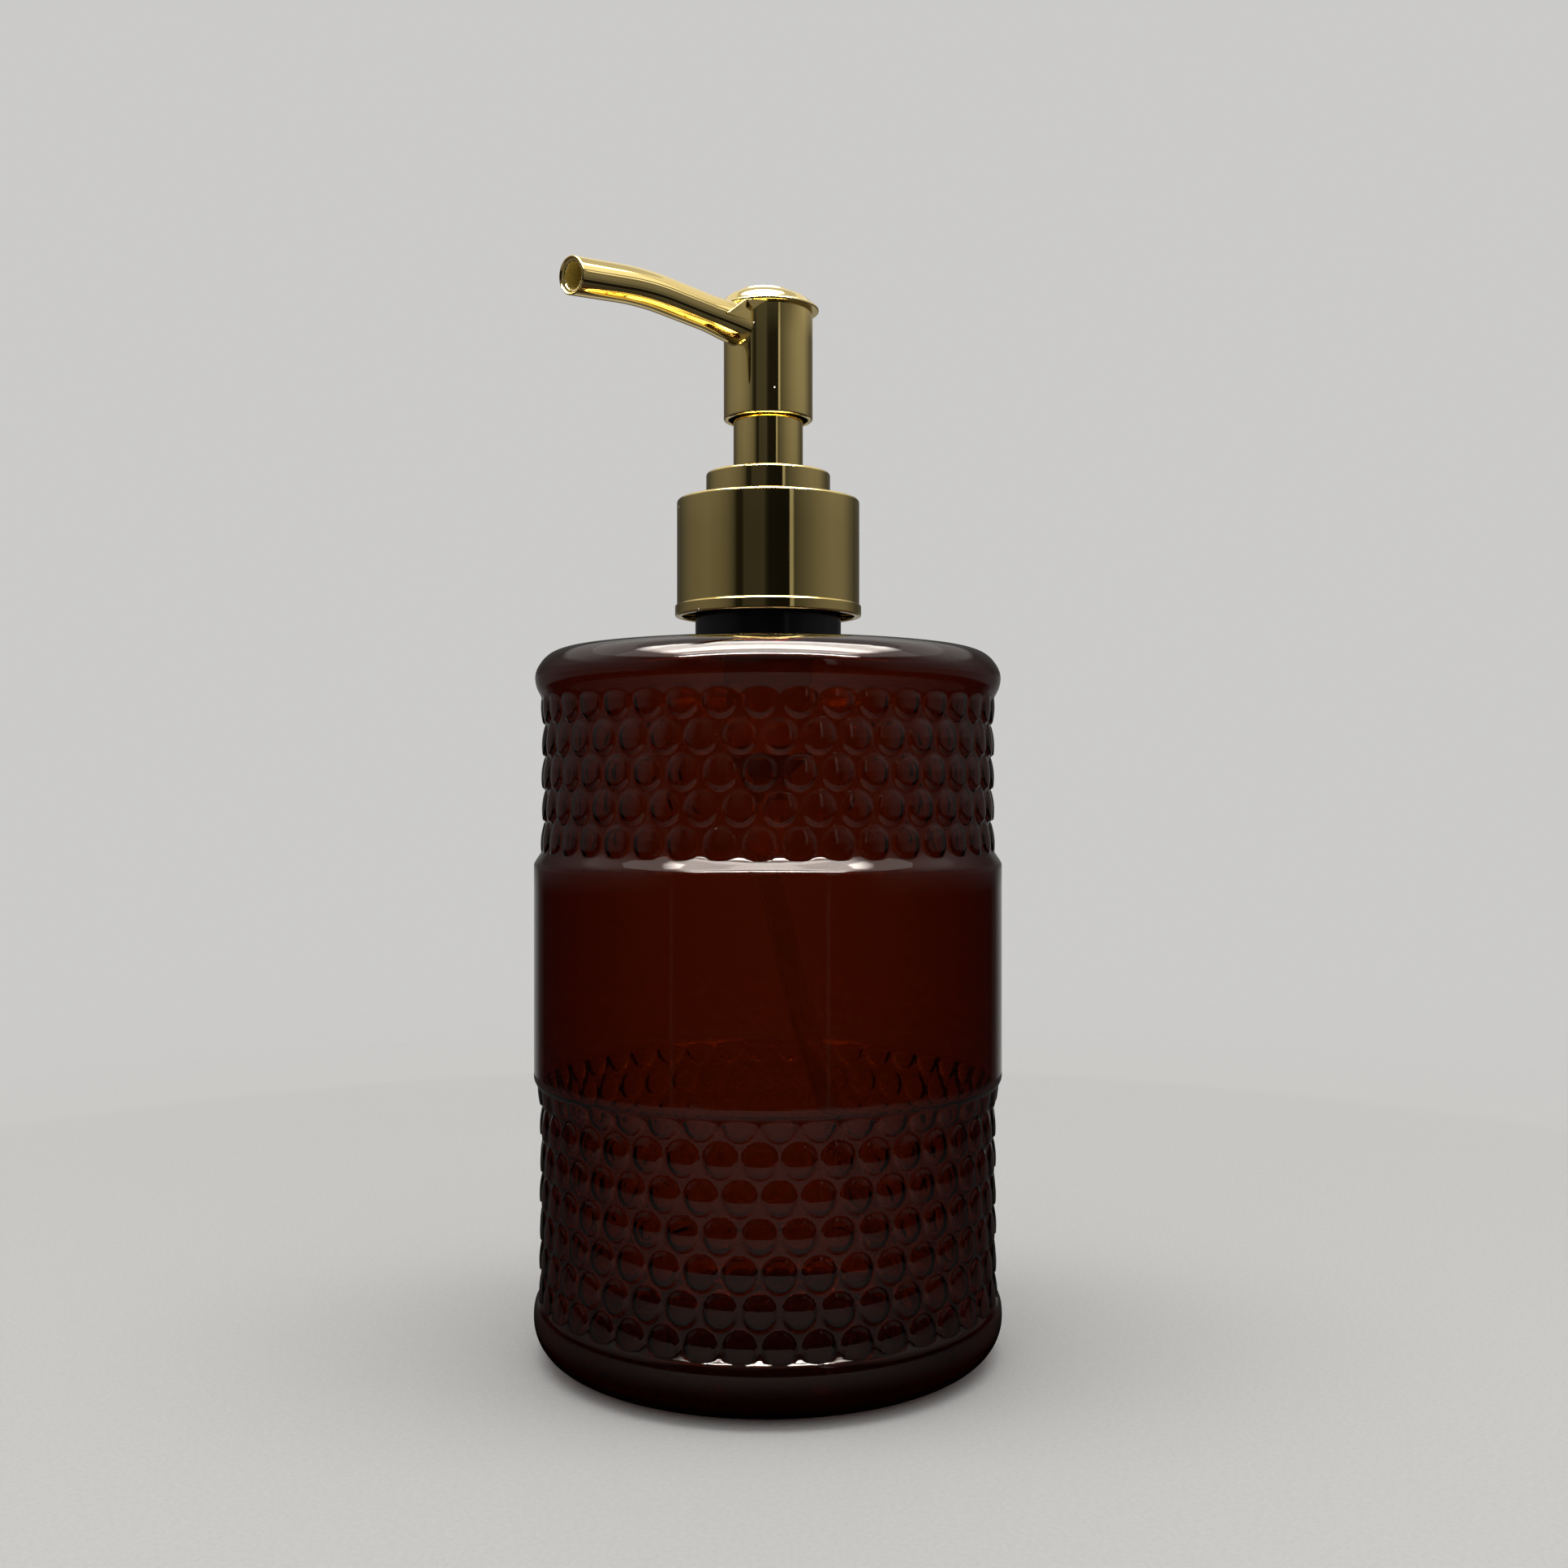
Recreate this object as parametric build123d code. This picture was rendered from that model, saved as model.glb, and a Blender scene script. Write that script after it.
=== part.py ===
"""Soap pump dispenser: blown bottle, screw closure and lotion pump with a bent spout.

Millimetres, +Z up. The origin is the centre of the base on the surface it stands on.
Z is the axis of the bottle and of the pump. The spout points along -X.
"""

import math
import os

from build123d import *

# ---- general fits ----
RUNNING = 0.05          # radial clearance of a piece that turns or slides on another
FIXED = 0.02            # radial clearance of a piece pushed into another and left there
FREE = 0.30             # gap between pieces that pass close without guiding each other

# ---- bottle ----
WALL = 0.9
BAND_R = 41.7           # plain middle band
HEEL_R = 41.8           # widest line just above the base
HEEL_Z = 8.7            # height of that line, also the heel's rounding radius
FOOT_IN_R = 31.6        # inner edge of the flat standing ring
PUSH_UP = 4.0           # height of the raised centre of the base
SHOULDER_R = 41.55
SHOULDER_Z = 119.5      # height of the shoulder's widest line
CROWN_IN = 4.15         # shoulder turns over to its top this far in from its widest line
CROWN_RISE = 5.25       # and this far above it
CROWN_SAG = 0.7         # middle of the shoulder's top below the neck's foot
FIELD_R = 39.8          # the two recessed bands that carry the pattern
FIELD_LOW_Z = 13.6      # lower band, foot and head
FIELD_MID_Z = 47.0
BAND_LOW_Z = 50.6       # plain band
BAND_HIGH_Z = 87.2
FIELD_HIGH_Z = 90.2     # upper band, foot and head
FIELD_TOP_Z = 115.4

# ---- bottle neck, 24 mm size with one and a half turns of thread ----
NECK_Z = 126.6          # top of the shoulder, where the neck starts
NECK_HEIGHT = 16.6
NECK_R = 10.72          # root of the thread
NECK_BORE_R = 9.3
THREAD_R = 11.9         # crest of the neck's thread
PITCH = 3.175
TURNS = 1.5
THREAD_START = 8.1      # first turn's foot, above NECK_Z
RIDGE_ROOT = 2.0        # ridge width at its root and crest
RIDGE_CREST = 0.9
RIDGE_BITE = 0.25       # depth of a ridge's root inside its wall
THREAD_GAP = 0.25       # radial gap from a crest to the facing root
MESH_DROP = 1.37        # cap's ridge lies this far below the neck's

# ---- gasket and pump housing ----
GASKET_T = 1.0
BARREL_R = 8.0
CHAMBER_R = 7.0
FLANGE_R = 11.6
FLANGE_T = 1.2
COLLAR_R = 8.6
COLLAR_RISE = 4.0       # collar above the flange
FUNNEL_H = 4.6          # cylinder's outside narrows over this height below the chamber floor
FLOOR_T = 0.8
POCKET_R = 2.9          # ball pocket
SEAT_PORT_R = 1.5
SOCKET_TOP = 98.4       # dip tube stops here
SOCKET_END = 88.0
SOCKET_WALL = 1.1
VENT_R = 0.6
VENT_Z = 140.3

# ---- inlet ball ----
BALL_R = 2.5
BALL_Z = 102.5
BALL_LIFT = 1.5         # way up from the seat until just clear of the cage
LIFT_GAP = 0.1
BALL_GAP = 0.05

# ---- dip tube ----
TUBE_R = 2.2
TUBE_BORE_R = 1.5
TUBE_END_Z = 6.0
TUBE_PATH = [(1.5, 78.5), (3.4, 70.0), (6.4, 58.0), (12.8, 38.0), (19.6, 20.0), (25.2, TUBE_END_Z)]
TUBE_SIDE = -45.0       # direction the tube bends to, degrees about +Z from +X

# ---- closure ----
CAP_R = 13.1
CAP_FOOT_Z = 127.2
CAP_TOP_T = 1.4
COVER_R = 16.4
COVER_WALL = 0.9
COVER_FOOT_Z = 131.0
COVER_TOP_Z = 151.9
COVER_TOP_T = 1.2
BEAD_R = 16.75          # thicker foot of the cover
BEAD_H = 2.1
RIB_COUNT = 16
RIB_T = 0.9
RIB_FOOT = 1.6          # ribs start this far above the cover's foot

# ---- lock ring ----
LOCK_R = 11.15
LOCK_WALL = 1.0
LOCK_TOP_Z = 156.8
LOCK_TOP_T = 1.2
SLEEVE_FIT = 0.08      # radial clearance of the sleeve in the lock ring
PLUG_FLOOR_Z = 141.8
PLUG_FLOOR_T = 1.2
GUIDE_R = 5.2           # outside of the stem's guide
GUIDE_TOP_Z = 152.0
STOP_T = 1.0
WEB_COUNT = 6
WEB_T = 1.0
SNAP_Z = 146.9
SNAP_H = 1.0
SNAP_RISE = 0.25

# ---- plunger ----
STROKE = 9.4            # way down from rest until the head is just clear of the lock ring
STROKE_GAP = 0.1
STEM_R = 4.0
STEM_BORE_R = 2.4
STEM_FOOT_Z = 138.8
STEM_PAST_WEB = 1.0     # stem ends this far above the foot of the head's web
SLEEVE_R = 6.25
SLEEVE_BORE_R = 5.65
SLEEVE_DIP = 1.8        # sleeve starts this far below the lock ring's top

# ---- piston and its valve seat ----
SLIP = 0.8              # travel of the piston on the seat's neck
PISTON_FOOT_Z = 132.6
PISTON_H = 6.4
PISTON_SKIRT_R = 6.6
PISTON_SKIRT_T = 0.6
LIP_R = 6.96
LIP_H = 1.4
HUB_R = 4.6
HUB_MOUTH_R = 3.4
HUB_MOUTH_H = 2.6
SEAT_NECK_R = 3.0
SEAT_FLANGE_R = 4.5
SEAT_FLANGE_T = 1.4
SEAT_BORE_R = 1.2
SEAT_PLUG_H = 7.0
WINDOW_R = 0.7
ROD_R = 2.2
ROD_END_Z = 119.6

# ---- spring and its seat ----
SPRING_SEAT_T = 2.4
SPRING_R = 3.2          # mean radius of the coils
WIRE_R = 0.4
COILS = 9
CAGE_SLOT_W = 1.0
CAGE_SLOT_L = 5.8
CAGE_PORT_R = 1.4
CAGE_RIM_R = 4.8
CAGE_RIM_T = 0.8
CAGE_RIM_H = 1.4

# ---- head and spout ----
HEAD_R = 8.0
HEAD_WALL = 0.9
HEAD_H = 19.6
HEAD_WEB_RISE = 10.7    # web above the head's foot
HEAD_WEB_T = 1.6
CORE_R = 5.6
CORE_DROP = 4.3         # core reaches this far below the head's foot
SPOUT_R = 3.15
SPOUT_BORE_R = 1.9
SPOUT_DROP = 4.4        # spout's centre line below the head's top, on the Z axis
SPOUT_RISE = 5.6        # degrees, first length
SPOUT_FALL = 4.6        # degrees, last length
SPOUT_KNEE_X = 29.7
SPOUT_REACH = 44.7
SPOUT_BEND_R = 60.0
SPOUT_LIP = 0.3         # wall left at the mouth
SPOUT_MOUTH_DEPTH = 1.9
FAIRING_HALF = 3.6      # half width of the block between spout and cap
FAIRING_TOP_X = 8.9
FAIRING_TIP_X = 13.0
FAIRING_TIP_DROP = 3.5   # these three lie below the head's top
FAIRING_FOOT_DROP = 4.5
GUSSET_DROP = 1.5
GUSSET_FOOT_X = 7.1
GUSSET_TOUCH_X = 2.9    # where the gusset's top meets the head's round wall
GUSSET_TOUCH_Y = 7.45

# ---- top cap ----
CAP_DISC_R = 9.1
CAP_DISC_T = 0.6
DOME_MID_R = 7.6        # dome's middle ring, above the head's top and shifted along X
DOME_MID_RISE = 2.0
DOME_MID_SHIFT = -0.5
DOME_TOP_R = 5.2
DOME_TOP_RISE = 3.0
DOME_TOP_SHIFT = -1.0
DISC_R = 4.8
DISC_T = 0.5
CAP_SKIRT_T = 1.0
CAP_SKIRT_H = 0.9       # skirt reaches this far into the head

# ---- heights that follow from the ones above ----
NECK_TOP = NECK_Z + NECK_HEIGHT
FLANGE_Z = NECK_TOP + GASKET_T
CAP_PANEL_Z = FLANGE_Z + FLANGE_T
CAP_TOP_Z = CAP_PANEL_Z + CAP_TOP_T
COLLAR_TOP = CAP_PANEL_Z + COLLAR_RISE
CAP_BORE_R = THREAD_R + THREAD_GAP
SEAT_FOOT_Z = PISTON_FOOT_Z - SEAT_FLANGE_T
CHAMBER_FLOOR = BALL_Z + BALL_R + BALL_LIFT + LIFT_GAP
SPRING_SEAT_TOP = CHAMBER_FLOOR + SPRING_SEAT_T
HEAD_FOOT_Z = LOCK_TOP_Z + STROKE + STROKE_GAP
HEAD_TOP_Z = HEAD_FOOT_Z + HEAD_H
HEAD_WEB_Z = HEAD_FOOT_Z + HEAD_WEB_RISE
CORE_FOOT_Z = HEAD_FOOT_Z - CORE_DROP
CORE_TOP_Z = HEAD_TOP_Z - CAP_SKIRT_H
STEM_TOP_Z = HEAD_WEB_Z + STEM_PAST_WEB
SLEEVE_FOOT_Z = LOCK_TOP_Z - SLEEVE_DIP
SPOUT_AXIS_Z = HEAD_TOP_Z - SPOUT_DROP
FAIRING_TIP_Z = HEAD_TOP_Z - FAIRING_TIP_DROP
FAIRING_FOOT_Z = HEAD_TOP_Z - FAIRING_FOOT_DROP
GUSSET_FOOT_Z = HEAD_TOP_Z - GUSSET_DROP
DOME_MID_Z = HEAD_TOP_Z + DOME_MID_RISE
DOME_TOP_Z = HEAD_TOP_Z + DOME_TOP_RISE


def ring(outer_r, inner_r, low, high):
    """Straight tube between two heights."""
    return tube_profile([(inner_r, low), (outer_r, low), (outer_r, high), (inner_r, high)])


def tube_profile(points):
    """Solid of revolution about Z from (radius, height) corners."""
    wire = Polyline([(r, 0, z) for r, z in points], close=True)
    return revolve(make_face(wire), Axis.Z)


def disc(radius, low, high):
    """Plain round bar between two heights."""
    return Pos(0, 0, low) * Cylinder(radius, high - low, align=(Align.CENTER, Align.CENTER, Align.MIN))


def helical_ridge(root_r, crest_r, foot_z):
    """Tapered ridge on a right-hand helix, from the wall at root_r to its crest."""
    inward = 1 if crest_r > root_r else -1
    back_r = root_r - inward * RIDGE_BITE
    path = Helix(pitch=PITCH, height=PITCH * TURNS, radius=root_r)
    path = Pos(0, 0, foot_z) * path
    section = make_face(
        Polyline(
            [
                (back_r, 0, foot_z - RIDGE_ROOT / 2),
                (crest_r, 0, foot_z - RIDGE_CREST / 2),
                (crest_r, 0, foot_z + RIDGE_CREST / 2),
                (back_r, 0, foot_z + RIDGE_ROOT / 2),
            ],
            close=True,
        )
    )
    return sweep(section, path=path, is_frenet=True)


def bottle_outline(inset):
    """Half section from the base centre to the neck root, moved inwards by inset."""
    foot_r = HEEL_R - HEEL_Z
    base = ThreePointArc(
        (0, 0, PUSH_UP + inset),
        (FOOT_IN_R * 0.55, 0, PUSH_UP * 0.72 + inset),
        (FOOT_IN_R, 0, inset),
    )
    foot = Line(base @ 1, (foot_r, 0, inset))
    heel_bend = HEEL_Z - inset
    heel = ThreePointArc(
        foot @ 1,
        (foot_r + heel_bend * math.sqrt(0.5), 0, HEEL_Z - heel_bend * math.sqrt(0.5)),
        (HEEL_R - inset, 0, HEEL_Z),
    )
    wall = Spline(
        (HEEL_R - inset, 0, HEEL_Z),
        (FIELD_R - inset, 0, FIELD_LOW_Z + 1.0),
        tangents=[(0, 0, 1), (0, 0, 1)],
    )
    lower = Line(wall @ 1, (FIELD_R - inset, 0, FIELD_MID_Z))
    step_a = Spline(
        (FIELD_R - inset, 0, FIELD_MID_Z),
        (BAND_R - inset, 0, BAND_LOW_Z),
        tangents=[(0.5, 0, 1), (0, 0, 1)],
    )
    band = Line(step_a @ 1, (BAND_R - inset, 0, BAND_HIGH_Z))
    step_b = Spline(
        (BAND_R - inset, 0, BAND_HIGH_Z),
        (FIELD_R - inset, 0, FIELD_HIGH_Z),
        tangents=[(0, 0, 1), (-0.5, 0, 1)],
    )
    upper = Line(step_b @ 1, (FIELD_R - inset, 0, FIELD_TOP_Z))
    swell = Spline(
        (FIELD_R - inset, 0, FIELD_TOP_Z),
        (SHOULDER_R - inset, 0, SHOULDER_Z),
        tangents=[(0.6, 0, 1), (0, 0, 1)],
    )
    edge_r = SHOULDER_R - CROWN_IN
    crown = Spline(
        (SHOULDER_R - inset, 0, SHOULDER_Z),
        (edge_r - inset * 0.6, 0, SHOULDER_Z + CROWN_RISE - inset),
        ((edge_r + NECK_R) / 2, 0, NECK_Z - CROWN_SAG - inset),
        (NECK_R + 1.5 - inset * 0.4, 0, NECK_Z - 0.2 - inset),
        tangents=[(0, 0, 1), (-1, 0, 0.25)],
    )
    return [base, foot, heel, wall, lower, step_a, band, step_b, upper, swell, crown]


def make_bottle():
    """Blown bottle with a threaded neck and an open mouth."""
    skin = [line.edge() for line in bottle_outline(0.0)]
    top = skin[-1] @ 1
    rim = Polyline([top, (NECK_R, 0, NECK_Z + 0.6), (NECK_R, 0, NECK_TOP), (0, 0, NECK_TOP), (0, 0, PUSH_UP)])
    body = revolve(make_face(Wire([*skin, *rim.edges()])), Axis.Z)
    lining = [line.edge() for line in bottle_outline(WALL)]
    throat = Polyline(
        [
            lining[-1] @ 1,
            (NECK_BORE_R, 0, NECK_Z - 0.4),
            (NECK_BORE_R, 0, NECK_TOP + 1),
            (0, 0, NECK_TOP + 1),
            (0, 0, PUSH_UP + WALL),
        ]
    )
    hollow = revolve(make_face(Wire([*lining, *throat.edges()])), Axis.Z)
    thread = helical_ridge(NECK_R, THREAD_R, NECK_Z + THREAD_START)
    return (body + thread) - hollow


def make_gasket():
    """Soft washer between the bottle's mouth and the housing's flange."""
    return ring(FLANGE_R - 0.2, BARREL_R + FREE, NECK_TOP, FLANGE_Z)


def make_housing():
    """Pump cylinder with flange, ball pocket and dip tube socket."""
    outside = tube_profile(
        [
            (0, SOCKET_END),
            (TUBE_R + SOCKET_WALL, SOCKET_END),
            (TUBE_R + SOCKET_WALL, SOCKET_TOP - 0.6),
            (POCKET_R + SOCKET_WALL, SOCKET_TOP + 0.4),
            (POCKET_R + SOCKET_WALL, CHAMBER_FLOOR - FUNNEL_H),
            (BARREL_R, CHAMBER_FLOOR - FLOOR_T),
            (BARREL_R, FLANGE_Z),
            (FLANGE_R, FLANGE_Z),
            (FLANGE_R, CAP_PANEL_Z),
            (COLLAR_R, CAP_PANEL_Z),
            (COLLAR_R, COLLAR_TOP),
            (0, COLLAR_TOP),
        ]
    )
    chamber = disc(CHAMBER_R, CHAMBER_FLOOR, COLLAR_TOP + 1)
    cone_tip = BALL_Z - (BALL_R + BALL_GAP) * math.sqrt(2)
    pocket = tube_profile(
        [
            (0, SOCKET_END - 1),
            (TUBE_R + FIXED, SOCKET_END - 1),
            (TUBE_R + FIXED, SOCKET_TOP),
            (SEAT_PORT_R, SOCKET_TOP),
            (SEAT_PORT_R, cone_tip + SEAT_PORT_R),
            (POCKET_R, cone_tip + POCKET_R),
            (POCKET_R, CHAMBER_FLOOR + 0.1),
            (0, CHAMBER_FLOOR + 0.1),
        ]
    )
    groove = ring(CHAMBER_R + SNAP_RISE + FIXED, CHAMBER_R - 0.5, SNAP_Z - 0.1, SNAP_Z + SNAP_H + 0.1)
    vent = Pos(BARREL_R, 0, VENT_Z) * Rot(0, 90, 0) * Cylinder(VENT_R, 4 * (BARREL_R - CHAMBER_R))
    return outside - chamber - pocket - groove - vent


def make_ball():
    """Inlet valve ball."""
    return Pos(0, 0, BALL_Z) * Sphere(BALL_R)


def make_dip_tube():
    """Soft tube from the housing's socket to the side of the bottle's base."""
    side = (math.cos(math.radians(TUBE_SIDE)), math.sin(math.radians(TUBE_SIDE)))
    top = (0, 0, SOCKET_TOP - FIXED)
    leave = (0, 0, SOCKET_END - 1)
    bend = [(u * side[0], u * side[1], z) for u, z in TUBE_PATH]
    straight = Line(top, leave)
    curve = Spline(leave, *bend, tangents=[(0, 0, -1), (side[0] * 0.42, side[1] * 0.42, -1)])
    path = Wire([straight.edge(), curve.edge()])
    start = Plane(origin=top, z_dir=(0, 0, -1))
    outer = sweep(start * Circle(TUBE_R), path=path)
    inner = sweep(start * Circle(TUBE_BORE_R), path=path)
    return outer - inner


def make_screw_cap():
    """Inner screw closure with a female thread and a hole for the pump's collar."""
    shell = disc(CAP_R, CAP_FOOT_Z, CAP_TOP_Z)
    edges = shell.edges().filter_by(GeomType.CIRCLE)
    shell = fillet(edges.sort_by(Axis.Z)[-1], 0.6)
    hollow = disc(CAP_BORE_R, CAP_FOOT_Z - 1, CAP_PANEL_Z)
    hole = disc(COLLAR_R + FREE, CAP_PANEL_Z - 1, CAP_TOP_Z + 1)
    thread = helical_ridge(CAP_BORE_R, NECK_R + THREAD_GAP, NECK_Z + THREAD_START - MESH_DROP)
    return shell - hollow - hole + thread


def make_cover():
    """Bright outer shell that grips the screw cap with inner ribs."""
    wall = tube_profile(
        [
            (COVER_R - COVER_WALL, COVER_FOOT_Z),
            (BEAD_R - 0.25, COVER_FOOT_Z),
            (BEAD_R, COVER_FOOT_Z + 0.25),
            (BEAD_R, COVER_FOOT_Z + BEAD_H - 0.15),
            (COVER_R, COVER_FOOT_Z + BEAD_H),
            (COVER_R, COVER_TOP_Z),
            (LOCK_R + FREE, COVER_TOP_Z),
            (LOCK_R + FREE, COVER_TOP_Z - COVER_TOP_T),
            (COVER_R - COVER_WALL, COVER_TOP_Z - COVER_TOP_T),
        ]
    )
    top_edge = wall.edges().filter_by(GeomType.CIRCLE).group_by(Axis.Z)[-1].sort_by(SortBy.RADIUS)[-1]
    wall = fillet(top_edge, 0.5)
    rib_foot = COVER_FOOT_Z + RIB_FOOT
    grip_r = CAP_R + FIXED
    for index in range(RIB_COUNT):
        low = Pos((grip_r + COVER_R - 0.5) / 2, 0, (rib_foot + CAP_TOP_Z) / 2) * Box(
            COVER_R - 0.5 - grip_r, RIB_T, CAP_TOP_Z - rib_foot
        )
        inner_r = LOCK_R + 2 * FREE
        high = Pos((inner_r + COVER_R - 0.5) / 2, 0, (CAP_TOP_Z + COVER_TOP_Z - 0.5) / 2) * Box(
            COVER_R - 0.5 - inner_r, RIB_T, COVER_TOP_Z - 0.5 - CAP_TOP_Z
        )
        wall = wall + Rot(0, 0, index * 360 / RIB_COUNT) * (low + high)
    return wall


def make_lock_ring():
    """Bright ring that snaps into the housing, guides the stem and traps the closure."""
    plug_r = CHAMBER_R - FIXED
    plug_bore = SLEEVE_R + SLEEVE_FIT
    body = ring(LOCK_R, LOCK_R - LOCK_WALL, CAP_TOP_Z + RUNNING, LOCK_TOP_Z - 0.2)
    lip = ring(LOCK_R, plug_bore, LOCK_TOP_Z - LOCK_TOP_T, LOCK_TOP_Z)
    lip_edge = lip.edges().filter_by(GeomType.CIRCLE).group_by(Axis.Z)[-1].sort_by(SortBy.RADIUS)[-1]
    lip = fillet(lip_edge, 0.5)
    plug = ring(plug_r, plug_bore, PLUG_FLOOR_Z, LOCK_TOP_Z - 0.2)
    floor = ring(plug_r, STEM_R + RUNNING, PLUG_FLOOR_Z, PLUG_FLOOR_Z + PLUG_FLOOR_T)
    guide = ring(GUIDE_R, STEM_R + RUNNING, PLUG_FLOOR_Z, GUIDE_TOP_Z)
    stop = ring(COLLAR_R, plug_r - 0.2, COLLAR_TOP, COLLAR_TOP + STOP_T)
    snap = tube_profile(
        [
            (plug_r - 0.2, SNAP_Z),
            (plug_r, SNAP_Z),
            (CHAMBER_R + SNAP_RISE, SNAP_Z + SNAP_H * 0.6),
            (CHAMBER_R + SNAP_RISE, SNAP_Z + SNAP_H),
            (plug_r - 0.2, SNAP_Z + SNAP_H),
        ]
    )
    ring_body = body + lip + plug + floor + guide + stop + snap
    web_low = COLLAR_TOP
    web_high = LOCK_TOP_Z - LOCK_TOP_T / 2
    web_in = plug_r - 0.3
    web_out = LOCK_R - LOCK_WALL / 2
    for index in range(WEB_COUNT):
        web = Pos((web_in + web_out) / 2, 0, (web_low + web_high) / 2) * Box(web_out - web_in, WEB_T, web_high - web_low)
        ring_body = ring_body + Rot(0, 0, index * 360 / WEB_COUNT) * web
    return ring_body


def make_stem():
    """Hollow stem from the valve seat to the head."""
    return ring(STEM_R, STEM_BORE_R, STEM_FOOT_Z, STEM_TOP_Z)


def make_valve_seat():
    """Seat that closes the piston's mouth, with side windows and a spring guide below."""
    outside = tube_profile(
        [
            (0, ROD_END_Z),
            (ROD_R - 0.6, ROD_END_Z),
            (ROD_R, ROD_END_Z + 0.6),
            (ROD_R, SEAT_FOOT_Z),
            (SEAT_FLANGE_R, SEAT_FOOT_Z),
            (SEAT_FLANGE_R, PISTON_FOOT_Z),
            (SEAT_NECK_R, PISTON_FOOT_Z),
            (SEAT_NECK_R, STEM_FOOT_Z),
            (STEM_BORE_R - FIXED, STEM_FOOT_Z),
            (STEM_BORE_R - FIXED, STEM_FOOT_Z + SEAT_PLUG_H),
            (0, STEM_FOOT_Z + SEAT_PLUG_H),
        ]
    )
    bore = disc(SEAT_BORE_R, PISTON_FOOT_Z + 0.6, STEM_FOOT_Z + SEAT_PLUG_H + 1)
    seat = outside - bore
    for turn in (0, 90):
        window = Pos(0, 0, PISTON_FOOT_Z + 1.5) * Rot(0, 90, turn) * Cylinder(WINDOW_R, 2 * SEAT_NECK_R + 2)
        seat = seat - window
    return seat


def make_piston():
    """Sliding piston with two sealing lips and a hub on the seat's neck."""
    low = PISTON_FOOT_Z
    high = PISTON_FOOT_Z + PISTON_H
    hub_top = STEM_FOOT_Z - SLIP
    inner = PISTON_SKIRT_R - PISTON_SKIRT_T
    web_low = low + HUB_MOUTH_H - 0.4
    web_high = web_low + 1.3
    return tube_profile(
        [
            (HUB_MOUTH_R, low),
            (HUB_R, low),
            (HUB_R, web_low),
            (inner, web_low),
            (inner, low + 0.4),
            (LIP_R - 0.4, low),
            (LIP_R, low),
            (LIP_R, low + 0.5),
            (PISTON_SKIRT_R, low + LIP_H),
            (PISTON_SKIRT_R, high - LIP_H),
            (LIP_R, high - 0.5),
            (LIP_R, high),
            (LIP_R - 0.4, high),
            (inner, high - 0.4),
            (inner, web_high),
            (HUB_R, web_high),
            (HUB_R, hub_top),
            (SEAT_NECK_R + RUNNING, hub_top),
            (SEAT_NECK_R + RUNNING, low + HUB_MOUTH_H),
            (HUB_MOUTH_R, low + HUB_MOUTH_H),
        ]
    )


def make_spring():
    """Return spring between the spring seat and the valve seat's flange."""
    low = SPRING_SEAT_TOP + WIRE_R
    height = SEAT_FOOT_Z - WIRE_R - low
    path = Pos(0, 0, low) * Helix(pitch=height / COILS, height=height, radius=SPRING_R)
    section = Plane(origin=path @ 0, z_dir=path % 0) * Circle(WIRE_R)
    return sweep(section, path=path, is_frenet=True)


def make_spring_seat():
    """Ring pressed on the chamber floor: holds the spring and cages the ball."""
    seat = disc(CHAMBER_R - FIXED, CHAMBER_FLOOR, SPRING_SEAT_TOP)
    rim = ring(CAGE_RIM_R, CAGE_RIM_R - CAGE_RIM_T, SPRING_SEAT_TOP - 0.2, SPRING_SEAT_TOP + CAGE_RIM_H)
    seat = seat + rim - disc(CAGE_PORT_R, CHAMBER_FLOOR - 1, SPRING_SEAT_TOP + 1)
    middle = (CHAMBER_FLOOR + SPRING_SEAT_TOP) / 2
    for turn in (0, 90):
        slot = Pos(0, 0, middle) * Rot(0, 0, turn) * Box(CAGE_SLOT_L, CAGE_SLOT_W, SPRING_SEAT_T + 2)
        seat = seat - slot
    return seat


def make_sleeve():
    """Bright sleeve that hides the stem between head and lock ring."""
    return ring(SLEEVE_R, SLEEVE_BORE_R, SLEEVE_FOOT_Z, HEAD_WEB_Z)


def spout_path(start_x):
    """Centre line of the spout from start_x on the -X side to its mouth."""
    rise = math.tan(math.radians(SPOUT_RISE))
    fall = math.tan(math.radians(SPOUT_FALL))
    knee_z = SPOUT_AXIS_Z + rise * SPOUT_KNEE_X
    end_z = knee_z - fall * (SPOUT_REACH - SPOUT_KNEE_X)
    corner = FilletPolyline(
        (-start_x, 0, SPOUT_AXIS_Z + rise * start_x),
        (-SPOUT_KNEE_X, 0, knee_z),
        (-SPOUT_REACH, 0, end_z),
        radius=SPOUT_BEND_R,
    )
    return corner


def spout_bar(radius, start_x):
    """Round bar along the spout's centre line."""
    path = spout_path(start_x)
    start = Plane(origin=path @ 0, z_dir=path % 0)
    return sweep(start * Circle(radius), path=path)


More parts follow.
